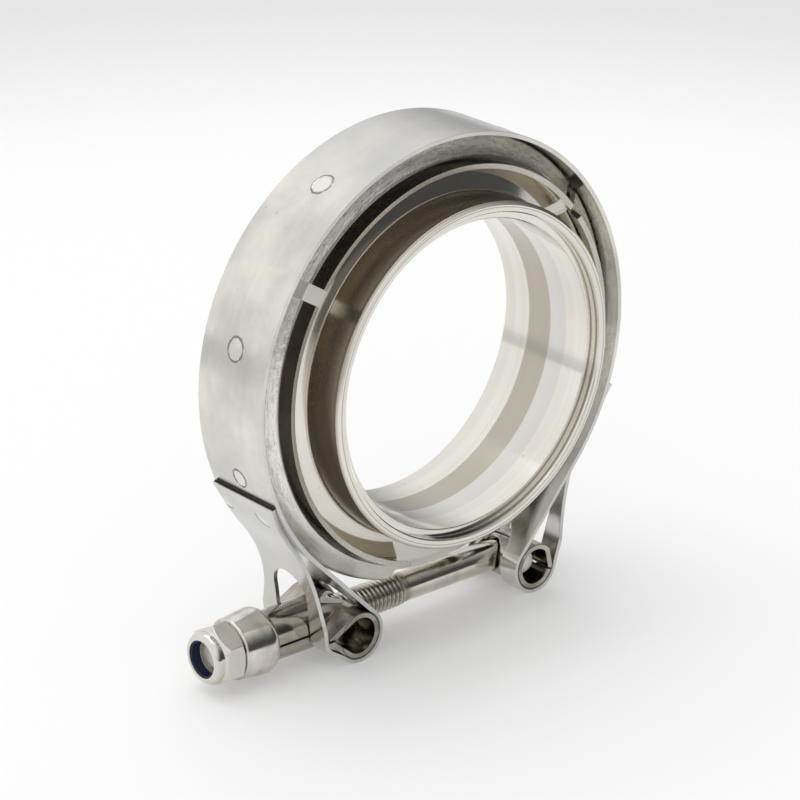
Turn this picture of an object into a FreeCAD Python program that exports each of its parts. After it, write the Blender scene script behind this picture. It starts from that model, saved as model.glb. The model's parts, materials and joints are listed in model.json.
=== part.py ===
"""V band clamp on a pair of turned pipe flanges, sizes in millimetres.

The pipe axis is Y with the front towards -Y, the clamp's bolt lies along X with its
nut towards -X, and Z is up. The origin is on the pipe axis, where the flanges meet.
"""
import FreeCAD, Part
import math
import os
import re

import Sketcher
from FreeCAD import Placement, Rotation, Vector

SIZES = {
    # Pipe that the flanges are made for, and the bore through them
    "pipe_diameter": 76.2,
    "socket_clearance": 0.25,
    "socket_depth": 2.1,
    "socket_chamfer": 0.3,
    "bore_diameter": 73.0,
    "bore_chamfer": 0.2,
    # Flanges
    "tube_wall": 2.7,
    "front_length": 20.4,
    "rear_length": 11.7,
    "tube_bevel": 0.7,
    "rim_height": 9.9,
    "crease_height": 10.0,
    "crease_round": 0.5,
    "spigot_wall": 2.8,
    "spigot_length": 1.5,
    "spigot_clearance": 0.15,
    "seat_clearance": 0.05,
    # V segments, pressed from sheet
    "sheet_thickness": 1.3,
    "base_width": 10.94,
    "leg_angle": 33.5,
    "leg_height": 4.95,
    "lip_angle": 13.0,
    "lip_length": 4.0,
    "base_bend": 1.6,
    "lip_bend": 1.8,
    "top_sweep_angle": 103.5,
    "side_sweep_angle": 106.5,
    "segment_gap_angle": 4.7,
    "segment_turn_angle": 1.25,
    "rim_clearance": 1.4,
    "weld_gap": 0.1,
    # Outer band
    "band_thickness": 1.0,
    "band_width": 22.0,
    "layer_gap": 0.05,
    "left_end_angle": 22.0,
    "right_end_angle": 20.0,
    "left_leg_angle": 84.0,
    "right_leg_angle": 72.0,
    "left_leg_bend": 37.0,
    "right_leg_bend": 30.0,
    "waist_width": 16.8,
    "waist_rise": 21.85,
    "waist_bend": 63.6,
    "neck_clearance": 0.3,
    "outer_slot_rise": 16.25,
    "inner_slot_rise": 9.35,
    "nose_bend": 2.5,
    # Trunnions, each rolled from sheet
    "left_barrel_reach": 26.6,
    "right_barrel_reach": 28.2,
    "barrel_diameter": 11.3,
    "barrel_wall": 1.25,
    "barrel_length": 22.0,
    "barrel_gap": 0.05,
    "nose_reach": 8.3,
    "nose_rise": 1.0,
    "nose_radius": 1.05,
    "nose_hollow_radius": 0.3125,
    "neck_width": 10.8,
    "neck_height": 12.4,
    "neck_length": 19.9,
    "seam_width": 0.4,
    "seam_drop": 0.5,
    "flat_depth": 0.65,
    "flat_angle": 12.0,
    "seam_angle": 23.0,
    # Bolt, collar and nut
    "bolt_diameter": 8.0,
    "shank_diameter": 7.2,
    "thread_length": 55.7,
    "bolt_clearance": 4.35,
    "bolt_sag": 0.55,
    "bolt_tilt_angle": 1.1,
    "passage_clearance": 0.3,
    "bolt_chamfer": 1.0,
    "bolt_tail": 14.2,
    "bar_diameter": 6.0,
    "bar_length": 16.5,
    "bar_chamfer": 0.5,
    "bar_seat_gap": 0.05,
    "collar_diameter": 16.3,
    "collar_foot_diameter": 14.4,
    "collar_length": 9.7,
    "collar_round": 2.3,
    "collar_bevel": 0.3,
    "collar_clearance": 0.4,
    "nut_flats": 13.0,
    "nut_hex_height": 5.6,
    "nut_height": 7.8,
    "nut_crown_diameter": 12.2,
    "nut_crown_round": 1.3,
    "nut_crown_opening": 9.0,
    "nut_face_diameter": 12.3,
    "nut_chamfer_angle": 36.0,
    "nut_angle": 0.0,
    "thread_clearance": 0.05,
    "insert_diameter": 10.6,
    "insert_gap": 0.03,
    "insert_thickness": 2.3,
    "insert_recess": 0.5,
}
DERIVED_SIZES = {
    "tube_diameter": "pipe_diameter + 2 * tube_wall",
    "rim_diameter": "tube_diameter + 2 * rim_height",
    "spigot_diameter": "bore_diameter + 2 * spigot_wall",
    "band_diameter": (
        "rim_diameter + 2 * (rim_clearance + sheet_thickness + weld_gap + band_thickness)"
    ),
    "bolt_drop": "band_diameter / 2 + bolt_clearance",
    "bolt_passage": "bolt_diameter + 2 * passage_clearance",
    "slot_width": "neck_width + 2 * neck_clearance",
    "bar_setback": (
        "sqrt((barrel_diameter / 2 - barrel_wall - bar_diameter / 2 - bar_seat_gap)^2"
        " - bolt_sag^2)"
    ),
}
SAME_PLACE = 1e-4

document = FreeCAD.newDocument("v_band_clamp")
sheet = document.addObject("Spreadsheet::Sheet", "sizes")
CELLS = {alias: str(number) for alias, number in SIZES.items()}
CELLS.update((alias, f"={formula}") for alias, formula in DERIVED_SIZES.items())
for row, (alias, content) in enumerate(CELLS.items(), start=1):
    sheet.set(f"A{row}", alias.replace("_", " "))
    sheet.set(f"B{row}", content)
    sheet.setAlias(f"B{row}", alias)
document.recompute()


def value(formula):
    """Number that a formula of the sheet's aliases gives."""
    return float(sheet.evalExpression(formula))


def bound(formula):
    """The same formula as an expression that reads the sheet from another object."""
    return re.sub(
        r"[a-z_]+",
        lambda word: f"sizes.{word[0]}" if word[0] in CELLS else word[0],
        formula,
    )


# Places that several pieces share

BAND_MIDDLE = value("(band_diameter - band_thickness) / 2")
LAYER_MIDDLE = BAND_MIDDLE + value("band_thickness + layer_gap")
BARREL_RADIUS = value("barrel_diameter / 2")
BARREL_HOLLOW = BARREL_RADIUS - value("barrel_wall")
LOOP_MIDDLE = BARREL_RADIUS + value("barrel_gap + band_thickness / 2")
BOLT_Z = -value("bolt_drop")
BARREL_Z = BOLT_Z - value("bolt_sag")
LEFT_BARREL = Vector(-value("left_barrel_reach"), 0, BARREL_Z)
RIGHT_BARREL = Vector(value("right_barrel_reach"), 0, BARREL_Z)
NOSE = LEFT_BARREL + Vector(-value("nose_reach"), 0, value("nose_rise"))
NECK_END_X = LEFT_BARREL.x - value("neck_length")
BEYOND = value("band_diameter")
ORIGIN = Vector(0, 0, 0)
AXIS_X = Vector(1, 0, 0)
AXIS_Y = Vector(0, 1, 0)

# The bolt is level in its own frame, which is tilted about the cross bar's middle
BAR_CENTRE = Vector(RIGHT_BARREL.x - value("bar_setback"), 0, BOLT_Z)
TILT = Placement(ORIGIN, Rotation(AXIS_Y, value("bolt_tilt_angle")), BAR_CENTRE)
TO_BOLT_AXIS = Rotation(AXIS_Y, -90)


# Outlines in the X-Z plane, as paths of tangent lines and arcs


def polar(centre, radius, angle):
    """Point at an angle in degrees, from +X towards +Z, round a centre."""
    turn = math.radians(angle)
    return centre + Vector(radius * math.cos(turn), 0, radius * math.sin(turn))


def line(start, end):
    """Straight step of a path."""
    return ("line", start, end)


def arc(centre, radius, start, end):
    """Round step of a path, between two angles in degrees."""
    return ("arc", centre, radius, start, end)


def moved_curve(step, shift):
    """Curve of one step of a path, moved to the left of its direction."""
    if step[0] == "line":
        start, end = step[1:]
        along = end - start
        left = Vector(-along.z, 0, along.x).normalize() * shift
        return Part.LineSegment(start + left, end + left)
    centre, radius, start, end = step[1:]
    radius += shift if end < start else -shift
    angles = (start, (start + end) / 2, end)
    return Part.Arc(*[polar(centre, radius, angle) for angle in angles])


def ribbon_curves(path, thickness):
    """Closed outline of a sheet whose middle follows a path."""
    left = [moved_curve(step, thickness / 2) for step in path]
    right = [moved_curve(step, -thickness / 2) for step in path]
    first_cap = Part.LineSegment(left[0].StartPoint, right[0].StartPoint)
    last_cap = Part.LineSegment(left[-1].EndPoint, right[-1].EndPoint)
    return left + [last_cap] + right + [first_cap]


def closed_face(curves):
    """Face inside a closed outline of curves."""
    edges = Part.__sortEdges__([curve.toShape() for curve in curves])
    return Part.Face(Part.Wire(edges))


def mirrored(path):
    """Path on the other side of the Y-Z plane, travelled the other way."""
    result = []
    for step in reversed(path):
        if step[0] == "line":
            start, end = (Vector(-point.x, 0, point.z) for point in step[1:])
            result.append(line(end, start))
        else:
            centre, radius, start, end = step[1:]
            centre = Vector(-centre.x, 0, centre.z)
            result.append(arc(centre, radius, 180 - end, 180 - start))
    return result


def rounded(points, bends):
    """Path through points, with a bend of its own radius at each inner one."""
    path = []
    start = points[0]
    for before, corner, after, bend in zip(points, points[1:], points[2:], bends):
        into = (corner - before).normalize()
        out = (after - corner).normalize()
        turn = math.atan2(into.x * out.z - into.z * out.x, into.dot(out))
        reach = bend * math.tan(abs(turn) / 2)
        begin = corner - into * reach
        centre = begin + Vector(-into.z, 0, into.x) * math.copysign(bend, turn)
        first = math.degrees(math.atan2(begin.z - centre.z, begin.x - centre.x))
        path.append(line(start, begin))
        path.append(arc(centre, bend, first, first + math.degrees(turn)))
        start = corner + out * reach
    path.append(line(start, points[-1]))
    return path


def prism(face, width):
    """Solid of a face drawn in the X-Z plane, centred across the width."""
    start = face.copy()
    start.translate(AXIS_Y * (-width / 2))
    return start.extrude(AXIS_Y * width)


# Objects of the document


def feature(label, shape):
    """Object whose shape is worked out in code from the sheet's sizes."""
    result = document.addObject("Part::Feature", label)
    result.Label = label
    result.Shape = shape
    return result


def own_origin(body, role):
    """One of a body's own origin planes or axes."""
    return next(item for item in body.Origin.OriginFeatures if item.Role == role)


def profile_sketch(body, corners):
    """Closed sketch in a body's X-Z plane with a pair of formulas for each corner."""
    sketch = body.newObject("Sketcher::SketchObject", f"{body.Label}_profile")
    sketch.AttachmentSupport = [(own_origin(body, "XZ_Plane"), "")]
    sketch.MapMode = "FlatFace"
    spots = [Vector(value(across), value(along), 0) for across, along in corners]
    for index, spot in enumerate(spots):
        following = (index + 1) % len(spots)
        sketch.addGeometry(Part.LineSegment(spot, spots[following]), False)
    for index in range(len(spots)):
        following = (index + 1) % len(spots)
        sketch.addConstraint(Sketcher.Constraint("Coincident", index, 2, following, 1))
    for index, formulas in enumerate(corners):
        for kind, formula in zip(("DistanceX", "DistanceY"), formulas):
            constraint = Sketcher.Constraint(kind, -1, 1, index, 1, value(formula))
            number = sketch.addConstraint(constraint)
            sketch.setExpression(f"Constraints[{number}]", bound(formula))
    return sketch


def turned_body(label, corners, placement):
    """Body turned about its own Z axis from (radius, height) formulas."""
    body = document.addObject("PartDesign::Body", label)
    body.Label = label
    sketch = profile_sketch(body, corners)
    turning = body.newObject("PartDesign::Revolution", f"{label}_turning")
    turning.Profile = sketch
    turning.ReferenceAxis = (sketch, ["V_Axis"])
    turning.Angle = 360
    body.Tip = turning
    body.Placement = placement
    document.recompute()
    return body


def round_edge(body, radius, height, size):
    """Round the turned edge that lies at a radius and height of the body's own axis."""
    tip = body.Tip
    for number, edge in enumerate(tip.Shape.Edges, start=1):
        curve = edge.Curve
        if not isinstance(curve, Part.Circle):
            continue
        radius_error = abs(curve.Radius - value(radius))
        height_error = abs(curve.Center.z - value(height))
        if max(radius_error, height_error) < SAME_PLACE:
            fillet = body.newObject("PartDesign::Fillet", f"{body.Label}_round")
            fillet.Base = (tip, [f"Edge{number}"])
            fillet.setExpression("Radius", bound(size))
            body.Tip = fillet
            document.recompute()
            return
    raise ValueError(f"{body.Label} has no edge at {radius}, {height}")


# Flanges, turned about the pipe axis

FRONT_TURN = Rotation(Vector(1, 0, 0), 90)
REAR_TURN = Rotation(Vector(1, 0, 0), -90)
SEAT_RUN = (
    "(base_width / 2 - (sheet_thickness / 2 + seat_clearance) * cos(leg_angle)"
    " + (band_diameter / 2 - band_thickness - weld_gap - sheet_thickness / 2"
    " - (sheet_thickness / 2 + seat_clearance) * sin(leg_angle) - {radius})"
    " * tan(leg_angle))"
)
SEAT_INNER_RADIUS = (
    "(band_diameter / 2 - band_thickness - weld_gap - sheet_thickness / 2 - leg_height)"
)


def flange_outside(length):
    """Corners of a flange from the edge of its seat to the edge of its bore."""
    return [
        ("rim_diameter / 2", SEAT_RUN.format(radius="rim_diameter / 2")),
        (SEAT_INNER_RADIUS, SEAT_RUN.format(radius=SEAT_INNER_RADIUS)),
        ("tube_diameter / 2", "crease_height"),
        ("tube_diameter / 2", f"{length} - tube_bevel"),
        ("tube_diameter / 2 - tube_bevel", length),
        ("pipe_diameter / 2 + socket_clearance + socket_chamfer", length),
        ("pipe_diameter / 2 + socket_clearance", f"{length} - socket_chamfer"),
        ("pipe_diameter / 2 + socket_clearance", f"{length} - socket_depth"),
        ("bore_diameter / 2 + bore_chamfer", f"{length} - socket_depth"),
        ("bore_diameter / 2", f"{length} - socket_depth - bore_chamfer"),
    ]


def front_flange():
    """Flange with the spigot, its pipe socket towards the front."""
    corners = [
        ("bore_diameter / 2", "0 - spigot_length"),
        ("spigot_diameter / 2", "0 - spigot_length"),
        ("spigot_diameter / 2", "0"),
        ("rim_diameter / 2", "0"),
    ]
    corners += flange_outside("front_length")
    body = turned_body("front_flange", corners, Placement(ORIGIN, FRONT_TURN))
    round_edge(body, "tube_diameter / 2", "crease_height", "crease_round")
    return body


def rear_flange():
    """Flange with the recess for the spigot, its pipe socket towards the back."""
    recess_radius = "spigot_diameter / 2 + spigot_clearance"
    recess_depth = "spigot_length + seat_clearance"
    corners = [
        ("bore_diameter / 2", recess_depth),
        (recess_radius, recess_depth),
        (recess_radius, "0"),
        ("rim_diameter / 2", "0"),
    ]
    corners += flange_outside("rear_length")
    body = turned_body("rear_flange", corners, Placement(ORIGIN, REAR_TURN))
    round_edge(body, "tube_diameter / 2", "crease_height", "crease_round")
    return body


# V segments, a pressed sheet profile swept round the pipe axis


def segment_profile():
    """Face of the V across the sheet, with radius along X and width along Z."""
    base_radius = value(
        "band_diameter / 2 - band_thickness - weld_gap - sheet_thickness / 2"
    )
    half_base = value("base_width / 2")
    leg_drop = value("leg_height")
    leg_rise = value("leg_height * tan(leg_angle)")
    lip_drop = value("lip_length * sin(lip_angle)")
    lip_rise = value("lip_length * cos(lip_angle)")
    half = [
        Vector(base_radius, 0, half_base),
        Vector(base_radius - leg_drop, 0, half_base + leg_rise),
        Vector(base_radius - leg_drop - lip_drop, 0, half_base + leg_rise + lip_rise),
    ]
    other_half = [Vector(point.x, 0, -point.z) for point in half]
    bends = [value(name) for name in ("lip_bend", "base_bend", "base_bend", "lip_bend")]
    path = rounded(other_half[::-1] + half, bends)
    return ribbon_curves(path, value("sheet_thickness"))


def v_segment(label, start, sweep):
    """One segment that begins at an angle round the pipe axis, from +X towards +Z."""
    body = document.addObject("PartDesign::Body", label)
    body.Label = label
    sketch = body.newObject("Sketcher::SketchObject", f"{label}_profile")
    sketch.AttachmentSupport = [(own_origin(body, "XZ_Plane"), "")]
    sketch.MapMode = "FlatFace"
    to_sketch = Placement(ORIGIN, Rotation(Vector(1, 0, 0), -90)).toMatrix()
    for curve in segment_profile():
        flat = curve.copy()
        flat.transform(to_sketch)
        sketch.addGeometry(flat, False)
    turning = body.newObject("PartDesign::Revolution", f"{label}_pressing")
    turning.Profile = sketch
    turning.ReferenceAxis = (sketch, ["V_Axis"])
    turning.setExpression("Angle", bound(sweep))
    body.Tip = turning
    document.recompute()
    upright = Rotation(Vector(1, 0, 0), 90)
    body.Placement = Placement(ORIGIN, Rotation(AXIS_Y, -start) * upright)
    return body


def v_segments():
    """The segment over the top and one down each side, with a gap between each two."""
    top_start = 90 + value("segment_turn_angle - top_sweep_angle / 2")
    left_start = top_start + value("top_sweep_angle + segment_gap_angle")
    right_start = top_start - value("segment_gap_angle + side_sweep_angle")
    return [
        v_segment("v_segment_top", top_start, "top_sweep_angle"),
        v_segment("v_segment_left", left_start, "side_sweep_angle"),
        v_segment("v_segment_right", right_start, "side_sweep_angle"),
    ]


# Band, one strip with both ends forked, looped round a barrel and folded back


def fold_path(nose, nose_radius, slope, bend, end_angle):
    """Left fold-back of the strip's middle, from its end on the ring to the nose.

    It lies on the ring, leaves it on a bend of the other sense and runs straight,
    at a slope below the horizontal, until it touches the nose.
    """
    along = Vector(math.cos(math.radians(slope)), 0, -math.sin(math.radians(slope)))
    outward = Vector(along.z, 0, -along.x)
    line_reach = outward.dot(nose) + nose_radius
    bend_reach = line_reach + bend
    bend_run = math.sqrt((LAYER_MIDDLE + bend) ** 2 - bend_reach**2)
    bend_centre = outward * bend_reach + along * bend_run
    leave = math.degrees(math.atan2(bend_centre.z, bend_centre.x)) % 360
    return [
        arc(ORIGIN, LAYER_MIDDLE, 180 + end_angle, leave),
        arc(bend_centre, bend, leave - 180, 90 - slope),
        line(outward * line_reach + along * bend_run, nose + outward * nose_radius),
    ]


def nose_path(barrel, nose, nose_radius, slope):
    """Left strip's middle round the nose and straight on to the barrel."""
    span = barrel - nose
    lean = math.degrees(math.asin((LOOP_MIDDLE - nose_radius) / span.Length))
    meet = math.degrees(math.atan2(span.z, span.x)) - lean + 270
    return [
        arc(nose, nose_radius, 270 - slope, meet),
        line(polar(nose, nose_radius, meet), polar(barrel, LOOP_MIDDLE, meet)),
    ], meet


def loop_path(barrel, meet):
    """Left strip's middle round the barrel and straight up to where it meets the ring."""
    away = math.degrees(math.atan2(barrel.z, barrel.x)) % 360
    touch = away - math.degrees(math.acos((BAND_MIDDLE + LOOP_MIDDLE) / barrel.Length))
    return [
        arc(barrel, LOOP_MIDDLE, meet, touch + 180),
        line(polar(barrel, LOOP_MIDDLE, touch + 180), polar(ORIGIN, BAND_MIDDLE, touch)),
    ], touch


def slot_cutter(rise):
    """Prism along X that opens a fork up to a round end above the bolt's axis."""
    half = value("slot_width / 2")
    arch_z = BOLT_Z + rise - half
    start = Vector(-BEYOND, 0, arch_z)
    arch = Part.makeCylinder(half, 2 * BEYOND, start, AXIS_X)
    corner = Vector(-BEYOND, -half, arch_z - BEYOND)
    return arch.fuse(Part.makeBox(2 * BEYOND, 2 * half, BEYOND, corner))


def waist_cutters():
    """Cylinders along X that hollow the two edges of a fold-back."""
    bend = value("waist_bend")
    reach = value("waist_width / 2") + bend
    waist_z = BOLT_Z + value("waist_rise")
    places = [Vector(-BEYOND, side * reach, waist_z) for side in (-1, 1)]
    return [Part.makeCylinder(bend, 2 * BEYOND, place, AXIS_X) for place in places]


def band():
    """The whole strip: ring, loops and fold-backs as one piece."""
    thickness = value("band_thickness")
    width = value("band_width")
    nose_span = LEFT_BARREL - NOSE
    nose_shift = value("nose_bend - nose_radius - barrel_gap")
    nose_centre = NOSE + nose_span * (nose_shift / nose_span.Length)
    nose_middle = value("nose_bend + band_thickness / 2")
    left_slope = value("left_leg_angle")
    right_slope = value("right_leg_angle")
    right_mirror = Vector(-RIGHT_BARREL.x, 0, RIGHT_BARREL.z)
    left_fold = fold_path(
        nose_centre,
        nose_middle,
        left_slope,
        value("left_leg_bend"),
        value("left_end_angle"),
    )
    right_fold = fold_path(
        right_mirror,
        LOOP_MIDDLE,
        right_slope,
        value("right_leg_bend"),
        value("right_end_angle"),
    )
    left_nose, left_meet = nose_path(LEFT_BARREL, nose_centre, nose_middle, left_slope)
    left_loop, left_touch = loop_path(LEFT_BARREL, left_meet)
    right_loop, right_touch = loop_path(right_mirror, 270 - right_slope)
    ring = arc(ORIGIN, BAND_MIDDLE, left_touch, 180 - right_touch)
    main_path = left_loop + [ring] + mirrored(right_loop)
    main = prism(closed_face(ribbon_curves(main_path, thickness)), width)
    main = main.cut(slot_cutter(value("inner_slot_rise")))
    outer_slot = slot_cutter(value("outer_slot_rise"))
    folds = []
    for path in (left_fold + left_nose, mirrored(right_fold)):
        fold = prism(closed_face(ribbon_curves(path, thickness)), width)
        folds.append(fold.cut(waist_cutters() + [outer_slot]))
    return feature("band", main.fuse(folds).removeSplitter())


# Trunnions, barrels rolled from sheet that the loops hold


def drop_curves(big_centre, big_radius, small_centre, small_radius):
    """Outline round two circles and the straight lines that touch both."""
    span = small_centre - big_centre
    aim = math.degrees(math.atan2(span.z, span.x))
    lean = math.degrees(math.acos((big_radius - small_radius) / span.Length))
    big_arc = arc(big_centre, big_radius, aim + lean, aim - lean + 360)
    small_arc = arc(small_centre, small_radius, aim - lean, aim + lean)
    curves = [moved_curve(big_arc, 0), moved_curve(small_arc, 0)]
    for side in (-lean, lean):
        big_point = polar(big_centre, big_radius, aim + side)
        curves.append(Part.LineSegment(big_point, polar(small_centre, small_radius, aim + side)))
    return curves


def rod(radius, start_x, end_x, rise=0):
    """Cylinder along the level bolt's axis, or at a rise above it."""
    start = Vector(start_x, 0, BOLT_Z + rise)
    return Part.makeCylinder(radius, end_x - start_x, start, AXIS_X)


def tilted(shape):
    """The shape moved from the level bolt's frame to its place on the clamp."""
    shape.Placement = TILT * shape.Placement
    return shape


def neck_blank():
    """Bar with a round top and bottom, along the level bolt's axis."""
    radius = value("neck_width / 2")
    rise = value("neck_height / 2") - radius
    end_x = LEFT_BARREL.x + BARREL_RADIUS
    middle = Part.makeBox(
        end_x - NECK_END_X, 2 * radius, 2 * rise, Vector(NECK_END_X, -radius, BOLT_Z - rise)
    )
    return middle.fuse([rod(radius, NECK_END_X, end_x, side * rise) for side in (-1, 1)])


def neck_side():
    """Side view of the level neck: flat to its shoulder, then down to the barrel."""
    half = value("neck_height / 2")
    barrel, nose = (TILT.inverse().multVec(point) for point in (LEFT_BARREL, NOSE))
    shoulder = Vector(nose.x - value("nose_radius"), 0, BOLT_Z + half)
    span = shoulder - barrel
    lean = math.degrees(math.acos(BARREL_RADIUS / span.Length))
    touch = polar(barrel, BARREL_RADIUS, math.degrees(math.atan2(span.z, span.x)) - lean)
    corners = [
        Vector(NECK_END_X, 0, BOLT_Z + half),
        shoulder,
        touch,
        Vector(touch.x, 0, BOLT_Z - half),
        Vector(NECK_END_X, 0, BOLT_Z - half),
    ]
    return Part.Face(Part.makePolygon(corners + corners[:1]))


def nut_trunnion():
    """Teardrop barrel whose two sheet ends run out as half shells round the bolt."""
    width = value("barrel_length")
    wall = value("barrel_wall")
    nose_radius = value("nose_radius")
    nose_hollow = value("nose_hollow_radius")
    outline = drop_curves(LEFT_BARREL, BARREL_RADIUS, NOSE, nose_radius)
    span = LEFT_BARREL - NOSE
    narrowing = (BARREL_RADIUS - nose_radius) / span.Length
    setback = (nose_hollow + wall - nose_radius) / narrowing
    hollow_nose = NOSE + span * (setback / span.Length)
    hollow = drop_curves(LEFT_BARREL, BARREL_HOLLOW, hollow_nose, nose_hollow)
    neck = neck_blank().common(prism(neck_side(), width))
    passage = rod(value("bolt_passage / 2"), NECK_END_X - wall, LEFT_BARREL.x + BEYOND)
    seam_start = Vector(
        NECK_END_X - wall, -width, BOLT_Z - value("seam_drop + seam_width / 2")
    )
    seam_length = hollow_nose.x - NECK_END_X + wall
    seam = Part.makeBox(seam_length, 2 * width, value("seam_width"), seam_start)
    solid = prism(closed_face(outline), width).fuse(tilted(neck))
    solid = solid.cut([prism(closed_face(hollow), width), tilted(passage), tilted(seam)])
    return feature("nut_trunnion", solid.removeSplitter())


def bolt_trunnion():
    """Barrel with one flattened side, its sheet ends meeting in a seam."""
    width = value("barrel_length")
    flat_angle = value("flat_angle")
    solids = []
    for radius in (BARREL_RADIUS, BARREL_HOLLOW):
        round_part = Part.makeCylinder(
            radius, width, RIGHT_BARREL - AXIS_Y * (width / 2), AXIS_Y
        )
        flat = Part.makeBox(
            radius, 2 * width, 4 * radius, Vector(radius - value("flat_depth"), -width, -2 * radius)
        )
        flat.Placement = Placement(RIGHT_BARREL, Rotation(AXIS_Y, -flat_angle)) * flat.Placement
        solids.append(round_part.cut(flat))
    seam_width = value("seam_width")
    seam = Part.makeBox(
        BARREL_RADIUS, 2 * width, seam_width, Vector(BARREL_HOLLOW / 2, -width, -seam_width / 2)
    )
    seam.Placement = Placement(RIGHT_BARREL, Rotation(AXIS_Y, value("seam_angle"))) * seam.Placement
    passage = rod(value("bolt_passage / 2"), RIGHT_BARREL.x - BEYOND, RIGHT_BARREL.x)
    return feature("bolt_trunnion", solids[0].cut([solids[1], seam, tilted(passage)]))


# Bolt with its cross bar


BOLT_LENGTH = "left_barrel_reach + neck_length + bolt_tail + right_barrel_reach - bar_setback"


def t_bolt():
    """Bolt turned about its axis, with a round bar across its head end."""
    thread_start = f"{BOLT_LENGTH} - thread_length"
    corners = [
        ("0", "0"),
        ("shank_diameter / 2", "0"),
        ("shank_diameter / 2", thread_start),
        ("bolt_diameter / 2", f"{thread_start} + (bolt_diameter - shank_diameter) / 2"),
        ("bolt_diameter / 2", f"{BOLT_LENGTH} - bolt_chamfer"),
        ("bolt_diameter / 2 - bolt_chamfer", BOLT_LENGTH),
        ("0", BOLT_LENGTH),
    ]
    body = turned_body("t_bolt", corners, TILT * Placement(BAR_CENTRE, TO_BOLT_AXIS))
    sketch = body.newObject("Sketcher::SketchObject", "t_bolt_bar_profile")
    sketch.AttachmentSupport = [(own_origin(body, "XZ_Plane"), "")]
    sketch.MapMode = "FlatFace"
    radius = value("bar_diameter / 2")
    sketch.addGeometry(Part.Circle(ORIGIN, Vector(0, 0, 1), radius), False)
    sketch.addConstraint(Sketcher.Constraint("Coincident", 0, 3, -1, 1))
    number = sketch.addConstraint(Sketcher.Constraint("Radius", 0, radius))
    sketch.setExpression(f"Constraints[{number}]", bound("bar_diameter / 2"))
    bar = body.newObject("PartDesign::Pad", "t_bolt_bar")
    bar.Profile = sketch
    bar.SideType = "Symmetric"
    bar.setExpression("Length", bound("bar_length"))
    body.Tip = bar
    document.recompute()
    ends = []
    for number, edge in enumerate(bar.Shape.Edges, start=1):
        circle = edge.Curve
        if not isinstance(circle, Part.Circle):
            continue
        radius_error = abs(circle.Radius - radius)
        place_error = abs(abs(circle.Center.y) - value("bar_length / 2"))
        if max(radius_error, place_error) < SAME_PLACE:
            ends.append(f"Edge{number}")
    chamfer = body.newObject("PartDesign::Chamfer", "t_bolt_bar_ends")
    chamfer.Base = (bar, ends)
    chamfer.setExpression("Size", bound("bar_chamfer"))
    body.Tip = chamfer
    document.recompute()
    return body


# Collar and lock nut, measured along the bolt from the neck's end


def primitive(kind, name, **formulas):
    """Part primitive whose named properties follow formulas of the sheet."""
    result = document.addObject(kind, name)
    for property_name, formula in formulas.items():
        result.setExpression(property_name, bound(formula))
    return result


def combined(kind, name, base, tool):
    """Boolean of two objects."""
    result = document.addObject(kind, name)
    result.Label = name
    result.Base = base
    result.Tool = tool
    return result


def beyond_neck(formula):
    """Place on the bolt's axis, facing the nut, at a distance beyond the neck's end."""
    place = Vector(NECK_END_X - value(formula), 0, BOLT_Z)
    return TILT * Placement(place, TO_BOLT_AXIS)


def collar():
    """Thrust collar, rounded towards the neck and tapered towards the nut."""
    bore = "bolt_diameter / 2 + collar_clearance"
    corners = [
        (bore, "0"),
        ("collar_diameter / 2", "0"),
        ("collar_foot_diameter / 2", "collar_length - collar_bevel"),
        ("collar_foot_diameter / 2 - collar_bevel", "collar_length"),
        (bore, "collar_length"),
    ]
    body = turned_body("collar", corners, beyond_neck("0"))
    round_edge(body, "collar_diameter / 2", "0", "collar_round")
    return body


INSERT_SEAT = "nut_height - insert_recess - insert_thickness"


def lock_nut():
    """Hexagon and round crown, turned inside and out, with the lip rolled in."""
    corner_radius = "nut_flats / sqrt(3)"
    bore = "bolt_diameter / 2 + thread_clearance"
    corners = [
        (bore, "0"),
        ("nut_face_diameter / 2", "0"),
        (corner_radius, f"({corner_radius} - nut_face_diameter / 2) * tan(nut_chamfer_angle)"),
        (
            corner_radius,
            f"nut_hex_height - ({corner_radius} - nut_crown_diameter / 2)"
            " * tan(nut_chamfer_angle)",
        ),
        ("nut_crown_diameter / 2", "nut_hex_height"),
        ("nut_crown_diameter / 2", "nut_height"),
        ("nut_crown_opening / 2", "nut_height"),
        ("nut_crown_opening / 2", "nut_height - insert_recess"),
        ("insert_diameter / 2 + insert_gap", "nut_height - insert_recess"),
        ("insert_diameter / 2 + insert_gap", INSERT_SEAT),
        (bore, INSERT_SEAT),
    ]
    turned = turned_body("lock_nut_turning", corners, beyond_neck("collar_length"))
    round_edge(turned, "nut_crown_diameter / 2", "nut_height", "nut_crown_round")
    hexagon = primitive(
        "Part::Prism", "lock_nut_hexagon", Circumradius=corner_radius, Height="nut_hex_height"
    )
    hexagon.Polygon = 6
    crown = primitive(
        "Part::Cylinder", "lock_nut_crown", Radius="nut_crown_diameter / 2", Height="nut_height"
    )
    crown.Placement = beyond_neck("collar_length")
    turn = Rotation(Vector(0, 0, 1), value("nut_angle"))
    hexagon.Placement = crown.Placement * Placement(ORIGIN, turn)
    outside = combined("Part::Fuse", "lock_nut_outside", hexagon, crown)
    return combined("Part::Common", "lock_nut", outside, turned)


def nylon_insert():
    """Ring that the nut's crown holds."""
    ring = primitive(
        "Part::Cylinder",
        "nylon_insert_ring",
        Radius="insert_diameter / 2",
        Height="insert_thickness",
    )
    hole = primitive(
        "Part::Cylinder",
        "nylon_insert_hole",
        Radius="bolt_diameter / 2 + thread_clearance",
        Height="insert_thickness",
    )
    for item in (ring, hole):
        item.Placement = beyond_neck(f"collar_length + {INSERT_SEAT}")
    return combined("Part::Cut", "nylon_insert", ring, hole)


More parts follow.
